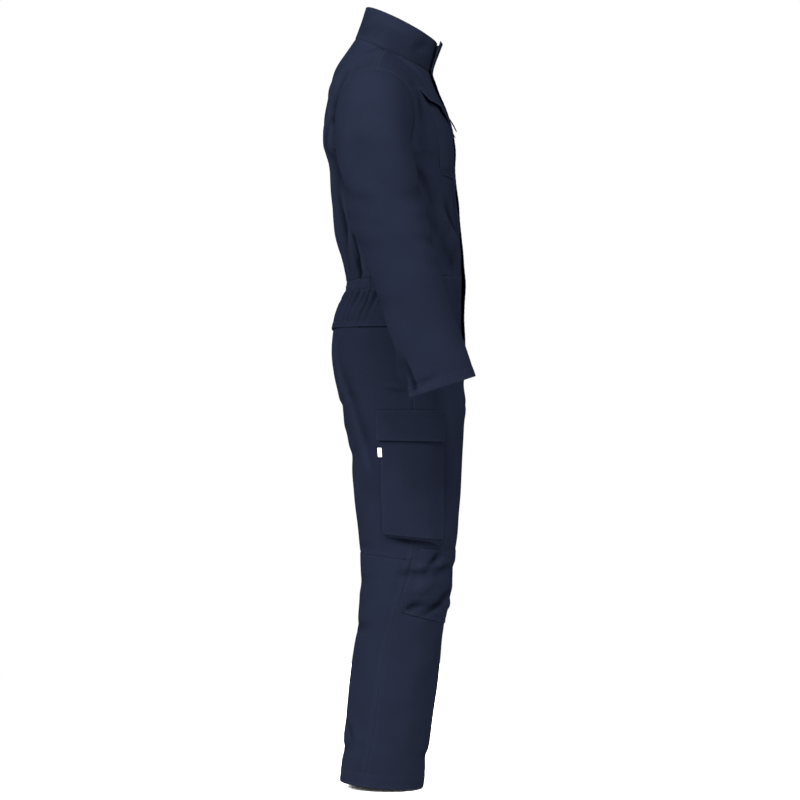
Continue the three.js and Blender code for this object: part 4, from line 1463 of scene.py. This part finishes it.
@dataclass
class Sleeves:
    """The set-in sleeves with their turned cuffs."""

    suit: Suit
    hem: float = 18.0

    def build(self) -> None:
        """Makes both sleeves and their stitches."""
        threads = Threads()
        for side in SIDES:
            panel = Panel(
                f"sleeve_{side}",
                {LEFT: SEAM, RIGHT: SEAM, TOP: SEAM, BOTTOM: HEM},
                {LEFT: SINGLE},
                hem=self.hem,
                tube=True,
            )
            cloth = panel.read(self.suit.nodes)
            SLEEVE_WEAR.give(cloth)
            self.suit.keep(panel.dress(threads, self.suit.finishes.cloth, "navy_cloth"))
        self.suit.stitch(threads, "sleeve_stitching")


@dataclass
class Trousers:
    """The leg panels, with the seam across the back of the knee."""

    suit: Suit
    hem: float = 26.0
    rise_z: float = -606.0
    closed_by: float = 30.0
    gather_mm: float = 1.2
    gather_reach: float = 40.0

    def _close_rise(self, cloth: Cloth) -> None:
        """Draws the fronts together at the centre, below the end of the zip.

        Args:
            cloth: The cloth of a leg's front.
        """
        x, z = cloth.points[..., 0], cloth.points[..., 2]
        below = (1 - smooth_step(z, self.rise_z - 8, self.rise_z)) * (z > self.rise_z - 60)
        gap = np.where(np.abs(x[:, :1]) < 4, x[:, :1], 0) * np.exp(-cloth.edge[LEFT] / self.closed_by)
        cloth.points[..., 0] -= gap * below

    def build(self) -> None:
        """Makes the leg panels and their stitches."""
        threads = Threads()
        for side in SIDES:
            for panel in (
                Panel(
                    f"leg_front_{side}",
                    {LEFT: SEAM, RIGHT: SEAM, TOP: SEAM, BOTTOM: HEM},
                    {TOP: SINGLE},
                    hem=self.hem,
                ),
                Panel(
                    f"thigh_back_{side}",
                    {LEFT: SEAM, RIGHT: SEAM, TOP: SEAM, BOTTOM: SEAM},
                    {LEFT: DOUBLE, BOTTOM: DOUBLE, RIGHT: SINGLE},
                ),
                Panel(
                    f"calf_back_{side}",
                    {LEFT: SEAM, RIGHT: SEAM, TOP: SEAM, BOTTOM: HEM},
                    {LEFT: DOUBLE},
                    hem=self.hem,
                ),
            ):
                cloth = panel.read(self.suit.nodes)
                if panel.node.startswith("leg_front"):
                    self._close_rise(cloth)
                LEG_WEAR.give(cloth)
                if panel.node.startswith("thigh"):
                    gather(cloth, cloth.edge[TOP], cloth.grain[0], self.gather_mm, self.gather_reach, 61)
                self.suit.keep(panel.dress(threads, self.suit.finishes.cloth, "navy_cloth"))
        self.suit.stitch(threads, "trouser_stitching")


@dataclass
class Collar:
    """The stand-up collar of doubled cloth."""

    suit: Suit
    thickness: float = 2.1

    def build(self) -> None:
        """Makes the collar and its stitches."""
        threads = Threads()
        panel = Panel(
            "collar",
            {LEFT: FREE, RIGHT: FREE, TOP: FREE, BOTTOM: SEAM},
            {TOP: (6.0,), BOTTOM: SINGLE},
            thickness=self.thickness,
            spacing=3.2,
            across=True,
        )
        cloth = panel.read(self.suit.nodes)
        COLLAR_WEAR.give(cloth)
        self.suit.keep(panel.dress(threads, self.suit.finishes.cloth, "navy_cloth"))
        self.suit.stitch(threads, "collar_stitching")


@dataclass
class Waist:
    """The elastic casing across the back and the flap that hangs from it over the seat."""

    suit: Suit
    rows: tuple[float, ...] = (4.5, 12.0, 19.5)
    ruffle_mm: float = 7.4
    gather_mm: float = 3.6
    gather_reach: float = 46.0

    def build(self) -> None:
        """Makes the casing, the seat flap and their stitches."""
        threads = Threads()
        casing = Panel(
            "waist_casing",
            {LEFT: LAID, RIGHT: LAID, TOP: LAID, BOTTOM: LAID},
            {TOP: self.rows},
            spacing=2.6,
            across=True,
            gap=1.6,
        )
        cloth = casing.read(self.suit.nodes)
        lay_folds(cloth, BODICE_FOLDS)
        along = cloth.grain[0]
        bend = along + 2.5 * waves(along, 0 * along, 40, 81, 5)
        held = 1 - 0.55 * sum(cloth.near(TOP, row, 1.6) for row in self.rows)
        small = np.sin(2 * math.pi * bend / self.ruffle_mm) + 0.5 * waves(along, 0 * along, 22, 82)
        cloth.relief += small * held
        self.suit.keep(casing.dress(threads, self.suit.finishes.cloth, "navy_cloth", "gathered"))
        flap = Panel(
            "seat_flap",
            {LEFT: LAID, RIGHT: LAID, TOP: SEAM, BOTTOM: HEM},
            {LEFT: SINGLE, RIGHT: SINGLE},
            hem=12.0,
            spacing=3.6,
            across=True,
        )
        cloth = flap.read(self.suit.nodes)
        LEG_WEAR.give(cloth)
        gather(cloth, cloth.edge[TOP], cloth.grain[0], self.gather_mm, self.gather_reach, 31)
        cloth.relief += 0.8
        free = smooth_step(cloth.edge[TOP], 30, 80)
        sides = smooth_step(np.abs(cloth.points[..., 0]), 30, 110)
        cloth.relief += free * (1.0 * waves(cloth.grain[0], 0 * along[:1, :1], 90, 91, 5) - 1.6 - 2.2 * sides)
        self.suit.keep(flap.dress(threads, self.suit.finishes.cloth, "navy_cloth", "gathered"))
        self.suit.stitch(threads, "waist_stitching")


@dataclass
class FrontClosure:
    """The zip, shut, and the placket that covers it."""

    suit: Suit
    tooth_pitch: float = 3.0
    tooth: tuple[float, float, float] = (3.6, 1.6, 1.5)
    tape_behind: float = 1.5
    tape_under: float = 2.8

    def _set_under(self, lattice: Lattice) -> Lattice:
        """Sets the tape behind the fronts' edges, and widens it under them.

        Args:
            lattice: The tape as the solid has it.

        Returns:
            The tape in its place.
        """
        points = lattice.points - lattice.normals * self.tape_behind
        over = unit(points[:, -1] - points[:, 0])
        points[:, 0] -= over * self.tape_under
        points[:, -1] += over * self.tape_under
        return Lattice(points, lattice.normals, lattice.mirrored)

    def build(self) -> None:
        """Makes the tape, the teeth, the placket and its stitches."""
        threads = Threads()
        tape = Panel("zip", dict.fromkeys(Edge, LAID), spacing=4.0, even=False, thickness=1.4)
        tape_cloth = tape.read(self.suit.nodes, self._set_under)
        self.suit.keep(tape.dress(threads, self.suit.finishes.tape, "zip_tape"))
        self.suit.keep(self._teeth(tape_cloth))
        placket = Panel(
            "placket",
            {LEFT: FREE, RIGHT: LAID, TOP: FREE, BOTTOM: LAID},
            {LEFT: (6.0,), RIGHT: DOUBLE, BOTTOM: DOUBLE, TOP: (6.0,)},
            thickness=1.7,
            spacing=3.4,
            even=False,
            gap=1.0,
        )
        cloth = placket.read(self.suit.nodes)
        down, gap = cloth.grain[1], cloth.edge[LEFT]
        cloth.relief += 1.5 * waves(down, 0 * down, 120, 101, 5) * np.exp(-gap / 18)
        cloth.relief += 0.5 * waves(down, 0 * down, 34, 102, 5) * np.exp(-gap / 14)
        cloth.relief += 0.5 * np.exp(-(((gap - 24) / 7) ** 2))
        made = placket.dress(threads, self.suit.finishes.cloth, "navy_cloth")
        ends = cloth.surface()
        threads.bartack(ends[-6, 4], np.array([1.0, 0, 0]), cloth.normals[-6, 4])
        self.suit.keep(made)
        self.suit.stitch(threads, "placket_stitching")

    def _one_tooth(self) -> tuple[Array, Array]:
        """Models one tooth of the zip.

        Returns:
            Its points, in mm, and its faces, a face of three corners with -1 for the fourth.
        """
        bpy.ops.object.select_all(action="DESELECT")
        bpy.ops.mesh.primitive_cube_add(size=1.0)
        tooth = bpy.context.active_object
        bpy.ops.object.mode_set(mode="EDIT")
        bpy.ops.mesh.select_all(action="SELECT")
        bpy.ops.transform.resize(value=self.tooth)
        bpy.ops.mesh.bevel(offset=0.35, offset_pct=0, segments=1, affect="EDGES")
        bpy.ops.object.mode_set(mode="OBJECT")
        points = np.array([v.co for v in tooth.data.vertices], float)
        corners = [list(p.vertices) for p in tooth.data.polygons]
        faces = np.array([face if len(face) == 4 else [*face, -1] for face in corners])
        mesh = tooth.data
        bpy.data.objects.remove(tooth)
        bpy.data.meshes.remove(mesh)
        return points, faces

    def _teeth(self, tape: Cloth) -> bpy.types.Object:
        """Copies the tooth down both sides of the tape.

        Args:
            tape: The tape's cloth.

        Returns:
            The teeth as one object.
        """
        points, faces = self._one_tooth()
        middle = tape.surface()[:, tape.points.shape[1] // 2]
        out = tape.normals[:, tape.points.shape[1] // 2]
        along = np.pad(np.cumsum(np.linalg.norm(np.diff(middle, axis=0), axis=1)), (1, 0))
        data = MeshData()
        for i in range(int(along[-1] // self.tooth_pitch) - 2):
            at = (i + 1.2) * self.tooth_pitch
            centre, ahead, up = (
                np.array([np.interp(at + extra, along, values[:, k]) for k in range(3)])
                for extra, values in ((0, middle), (1.0, middle), (0, out))
            )
            way, up = unit(ahead - centre), unit(up)
            over = np.cross(way, up)
            shift = over * (0.9 if i % 2 else -0.9) + up * 0.6
            placed = centre + shift + points[:, :1] * over + points[:, 1:2] * way + points[:, 2:] * up
            data.add(placed, faces, np.zeros((len(points), 2)))
        return self._join(data)

    def _join(self, data: MeshData) -> bpy.types.Object:
        """Makes the object of the zip's teeth.

        Args:
            data: The teeth.

        Returns:
            The object.
        """
        points = np.concatenate(data.points) * MM
        base, faces = 0, []
        for block, part in zip(data.faces, data.points):
            faces += [[v for v in face if v >= base] for face in block.tolist()]
            base += len(part)
        mesh = bpy.data.meshes.new("zip_teeth")
        mesh.from_pydata(points.tolist(), [], faces)
        mesh.materials.append(self.suit.finishes.teeth)
        made = bpy.data.objects.new("zip_teeth", mesh)
        bpy.context.scene.collection.objects.link(made)
        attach(made, "root")
        return made


FLAP_EDGES = {LEFT: FREE, RIGHT: FREE, TOP: LAID, BOTTOM: FREE}
FLAP_STITCHES = {LEFT: SINGLE, RIGHT: SINGLE, BOTTOM: SINGLE, TOP: DOUBLE}
POCKET_EDGES = {LEFT: LAID, RIGHT: LAID, TOP: FREE, BOTTOM: LAID}


@dataclass(frozen=True)
class Flap:
    """How a pocket's flap hangs: where it bends, how far it stands off, and how wavy it is."""

    wear: Wear
    gap: float
    thickness: float
    bends: tuple[float, float]
    stands_off: float
    corner: float
    corner_reach: float
    wavy: float
    wave_mm: float
    seed: int

    def hang(self, cloth: Cloth) -> None:
        """Lifts the flap's lower edge off the pocket, its front corner most.

        Args:
            cloth: The flap's cloth.
        """
        down = smooth_step(cloth.edge[TOP], *self.bends)
        corner = np.exp(-((cloth.edge[BOTTOM] + cloth.edge[LEFT]) / self.corner_reach))
        cloth.relief += 1.0 + self.stands_off * down + self.corner * corner
        cloth.relief += self.wavy * waves(cloth.grain[0], cloth.grain[1], self.wave_mm, self.seed) * down


CHEST_FLAP = Flap(CHEST_WEAR, 2.8, 1.5, (8, 60), 2.0, 3.0, 26, 0.8, 60, 121)
CARGO_FLAP = Flap(CARGO_WEAR, 1.0, 1.6, (6, 58), 2.6, 2.6, 30, 0.7, 70, 141)


@dataclass
class Pockets:
    """The pockets, their flaps and the bare label."""

    suit: Suit
    spacing: float = 3.2
    chest_gap: float = 2.6
    chest_full: float = 2.4
    hip_gap: float = 2.1
    knee_gap: float = 2.2
    knee_full: float = 3.2
    knee_lip: float = 2.2
    lift_front: float = 10.0
    lift_back: float = 6.0
    sewn_off: float = 2.1

    def build(self) -> None:
        """Makes every pocket and its stitches."""
        threads = Threads()
        for side in SIDES:
            self._chest(side, threads)
            self._hip(side, threads)
            self._knee(side, threads)
            self._cargo(side, threads)
        self._label(threads)
        self.suit.stitch(threads, "pocket_stitching")

    def _draw(self, panel: Panel, wear: Wear, change: Callable[[Lattice], Lattice] | None = None) -> Cloth:
        """Draws a pocket piece with the wear of the cloth under it.

        Args:
            panel: The piece.
            wear: The wear.
            change: A change to its lattice before it is drawn.

        Returns:
            Its cloth.
        """
        panel.even, panel.spacing = False, self.spacing
        cloth = panel.read(self.suit.nodes, change)
        wear.give(cloth)
        return cloth

    def _finish(self, panel: Panel, threads: Threads) -> None:
        """Finishes a piece of the pockets and keeps it."""
        self.suit.keep(panel.dress(threads, self.suit.finishes.cloth, "navy_cloth"))

    def _hang_flap(self, node: str, flap: Flap, threads: Threads) -> None:
        """Makes a pocket's flap.

        Args:
            node: Its node.
            flap: How it hangs.
            threads: Where its stitches are added.
        """
        panel = Panel(node, FLAP_EDGES, FLAP_STITCHES, gap=flap.gap, thickness=flap.thickness)
        flap.hang(self._draw(panel, flap.wear))
        self._finish(panel, threads)

    def _chest(self, side: str, threads: Threads) -> None:
        """Makes a chest pocket, which is slightly full, and its flap.

        Args:
            side: The wearer's side.
            threads: Where the stitches are added.
        """
        stitches = {LEFT: DOUBLE, RIGHT: DOUBLE, BOTTOM: DOUBLE}
        panel = Panel(f"chest_pocket_{side}", POCKET_EDGES, stitches, gap=self.chest_gap)
        cloth = self._draw(panel, CHEST_WEAR)
        low = smooth_step(cloth.edge[TOP], 0, 90)
        edge = np.minimum(cloth.edge[LEFT], cloth.edge[RIGHT])
        edge = np.minimum(edge, cloth.edge[BOTTOM])
        cloth.relief += self.chest_full * low * smooth_step(edge, 0, 30) + 0.5
        self._finish(panel, threads)
        self._hang_flap(f"chest_flap_{side}", CHEST_FLAP, threads)

    def _hip(self, side: str, threads: Threads) -> None:
        """Makes a hip pocket's welt.

        Args:
            side: The wearer's side.
            threads: Where the stitches are added.
        """
        stitches = {RIGHT: SINGLE, BOTTOM: SINGLE}
        panel = Panel(f"hip_welt_{side}", dict.fromkeys(Edge, LAID), stitches, gap=self.hip_gap)
        self._draw(panel, LEG_WEAR)
        self._finish(panel, threads)

    def _knee(self, side: str, threads: Threads) -> None:
        """Makes a knee pocket, which bags a little over its lower edge.

        Args:
            side: The wearer's side.
            threads: Where the stitches are added.
        """
        panel = Panel(f"knee_pocket_{side}", POCKET_EDGES, dict.fromkeys(Edge, DOUBLE), gap=self.knee_gap)
        cloth = self._draw(panel, LEG_WEAR)
        edge = np.minimum(cloth.edge[LEFT], cloth.edge[RIGHT])
        low = smooth_step(cloth.edge[TOP], 0, 50) * smooth_step(cloth.edge[BOTTOM], 2, 34)
        cloth.relief += self.knee_full * low * smooth_step(edge, 0, 30) + 0.8
        bag = 0.9 * smooth_step(-cloth.edge[BOTTOM], -9, -3)
        cloth.relief += bag - self.knee_lip * np.exp(-cloth.edge[TOP] / 9)
        self._finish(panel, threads)

    def _cargo(self, side: str, threads: Threads) -> None:
        """Makes a cargo pocket's face, its bellows and its flap.

        Args:
            side: The wearer's side.
            threads: Where the stitches are added.
        """
        stitches = {LEFT: SINGLE, RIGHT: SINGLE, BOTTOM: SINGLE}
        panel = Panel(f"cargo_pocket_{side}", dict.fromkeys(Edge, FREE), stitches)
        cloth = self._draw(panel, CARGO_WEAR, self._raise_face)
        edge = np.minimum(cloth.edge[LEFT], cloth.edge[RIGHT])
        cloth.relief += 1.8 * smooth_step(edge, 0, 45) * smooth_step(cloth.edge[BOTTOM], 0, 60)
        cloth.relief += 3.0 * np.exp(-(cloth.edge[LEFT] + cloth.edge[BOTTOM]) / 40)
        cloth.relief += 0.9 * waves(cloth.grain[0], cloth.grain[1], 95, 131)
        self._finish(panel, threads)
        self.suit.keep(self._bellows(side, cloth))
        self._hang_flap(f"cargo_flap_{side}", CARGO_FLAP, threads)

    def _raise_face(self, lattice: Lattice) -> Lattice:
        """Lifts a cargo pocket's edges level with its face.

        Args:
            lattice: The pocket as the solid has it, sloping down to the leg in its margin.

        Returns:
            The face alone.
        """
        face = lattice.without_margin()
        z = face.points[..., 2]
        deep = np.clip((z.max() - z) / (z.max() - z.min()), 0, 1)
        columns = z.shape[1] + 1
        across = np.array([2, *range(2, columns - 1), columns - 2])[None, :] / columns
        lift = (self.lift_front + (self.lift_back - self.lift_front) * across) * np.sqrt(deep)
        border = np.zeros(z.shape, bool)
        border[[0, -1]] = True
        border[:, [0, -1]] = True
        raised = face.points + face.normals * (lift * border)[..., None]
        return Lattice(raised, face.normals, face.mirrored)

    def _bellows(self, side: str, face: Cloth) -> bpy.types.Object:
        """Makes the folded strip between a cargo pocket's face and the leg.

        Args:
            side: The wearer's side.
            face: The pocket's face.

        Returns:
            The strip as one object.
        """
        surface, normals = face.surface(), face.normals
        path = [(r, 0) for r in range(surface.shape[0])]
        path += [(-1, c) for c in range(1, surface.shape[1])]
        path += [(r, -1) for r in range(surface.shape[0] - 2, -1, -1)]
        rows, columns = zip(*path)
        at, out = surface[rows, columns], normals[rows, columns]
        inside = surface[surface.shape[0] // 2, surface.shape[1] // 2]
        z = at[:, 2]
        deep = np.sqrt(np.clip((surface[..., 2].max() - z) / np.ptp(surface[..., 2]), 0, 1))
        across = np.clip(face.edge[LEFT][rows, columns] / face.edge[LEFT][:, -1].mean(), 0, 1)
        lift = (self.lift_front + (self.lift_back - self.lift_front) * across) * deep + self.sewn_off + 1.0
        low_front = smooth_step(deep, 0.8, 0.87) * np.exp(-face.edge[LEFT][rows, columns] / 12)
        fuller = 1 + 1.4 * low_front
        way = unit(np.gradient(at, axis=0))
        away = unit(np.cross(out, way))
        away *= np.sign(((at - inside) * away).sum(1))[:, None]
        for _ in range(6):
            away = unit(away + np.roll(away, 1, 0) * 0.5 + np.roll(away, -1, 0) * 0.5)
        profile = ((-2.0, 0.08), (-4.5, 0.32), (-3.0, 0.5), (3.0, 0.66), (5.5, 0.86), (6.5, 1.0))
        grid = [
            at + away * (shift * np.clip(deep, 0.15, 1) * fuller)[:, None] - out * (lift * drop)[:, None]
            for shift, drop in profile
        ]
        ways = np.repeat(unit(away + 0.6 * out)[None], len(grid), 0)
        strip = Cloth(f"cargo_bellows_{side}", np.stack(grid), ways, face.mirrored)
        data = MeshData()
        shell(data, strip, 0.8)
        made = data.build(f"cargo_pocket_{side}_bellows", self.suit.finishes.cloth, "navy_cloth")
        return made

    def _label(self, threads: Threads) -> None:
        """Makes the bare loop label in the back edge of the right cargo pocket.

        Args:
            threads: Where its stitches would be added.
        """
        panel = Panel("pocket_label", dict.fromkeys(Edge, FREE), spacing=1.3, even=False, thickness=0.9)
        cloth = panel.read(self.suit.nodes)
        cloth.relief += 0.5 * np.sin(math.pi * cloth.edge[LEFT] / cloth.edge[LEFT].max()) + 0.3
        self.suit.keep(panel.dress(threads, self.suit.finishes.label, "white_label", "folded"))


# The stage


@dataclass
class Studio:
    """The pale floor, the soft lights and the camera at the photograph's place."""

    floor_z: float
    camera_m: tuple[float, float, float] = (-4.0, 0.0, -0.696)
    lens_mm: float = 90.0
    sensor_mm: float = 36.0
    floor_m: float = 1.7
    look_at_m: tuple[float, float, float] = (0.0, 0.0, -0.6)

    def build(self) -> None:
        """Makes the floor, the lights and the camera."""
        self._floor()
        world = bpy.data.worlds.new("studio")
        world.use_nodes = True
        world.node_tree.nodes["Background"].inputs["Color"].default_value = (1, 1, 1, 1)
        world.node_tree.nodes["Background"].inputs["Strength"].default_value = 1.0
        bpy.context.scene.world = world
        bpy.context.scene.view_settings.view_transform = "Standard"
        self._light("key", (-2.8, 3.0, 1.6), 760, 2.2)
        self._light("top", (-2.3, -0.7, 2.9), 430, 0.8)
        self._light("back", (2.8, 1.6, 1.2), 150, 2.0)
        self._light("front", (-2.2, -2.8, 0.2), 110, 2.4)
        self._camera()

    def _floor(self) -> None:
        """Makes the floor."""
        bpy.ops.object.select_all(action="DESELECT")
        bpy.ops.mesh.primitive_circle_add(
            vertices=96, radius=self.floor_m, fill_type="NGON", location=(0, 0, self.floor_z)
        )
        floor = bpy.context.active_object
        floor.name = "floor"
        nodes = Nodes("floor_paper")
        place = nodes.add("ShaderNodeTexCoord").outputs["Object"]
        tone = nodes.spread(nodes.noise(place, 3), 0.3, 0.7, (0.0, 1.0))
        nodes.shade(Base_Color=nodes.mix(tone, (0.93, 0.93, 0.93, 1), (0.96, 0.96, 0.96, 1)), Roughness=0.9)
        floor.data.materials.append(nodes.material)
        floor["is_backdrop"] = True

    def _light(self, name: str, place: tuple[float, float, float], power: float, size: float) -> None:
        """Adds a soft light that looks at the suit.

        Args:
            name: Its name.
            place: Where it stands, in metres.
            power: Its power, in watts.
            size: The side of its panel, in metres.
        """
        lamp = bpy.data.lights.new(name, "AREA")
        lamp.energy, lamp.size = power, size
        made = bpy.data.objects.new(name, lamp)
        made.location = place
        way = Vector(self.look_at_m) - Vector(place)
        made.rotation_euler = way.to_track_quat("-Z", "Y").to_euler()
        bpy.context.scene.collection.objects.link(made)

    def _camera(self) -> None:
        """Adds the camera, level with the middle of the suit and square to its right side."""
        data = bpy.data.cameras.new("camera")
        data.lens, data.sensor_width = self.lens_mm, self.sensor_mm
        camera = bpy.data.objects.new("camera", data)
        camera.location = self.camera_m
        camera.rotation_euler = (math.pi / 2, 0, -math.pi / 2)
        bpy.context.scene.collection.objects.link(camera)
        bpy.context.scene.camera = camera


def main() -> None:
    """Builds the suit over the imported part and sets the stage."""
    logging.basicConfig(level=logging.INFO, format="%(message)s")
    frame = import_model()
    low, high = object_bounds()
    bpy.ops.object.select_all(action="DESELECT")
    suit = Suit(frame["nodes"], Wardrobe())
    for part in (Bodice, Sleeves, Trousers, Collar, Waist, FrontClosure, Pockets):
        part(suit).build()
        LOG.info("%s done", part.__name__)
    Studio(floor_z=low.z - FLOOR_GAP_M).build()
    bpy.context.view_layer.update()


if __name__ == "__main__":
    main()
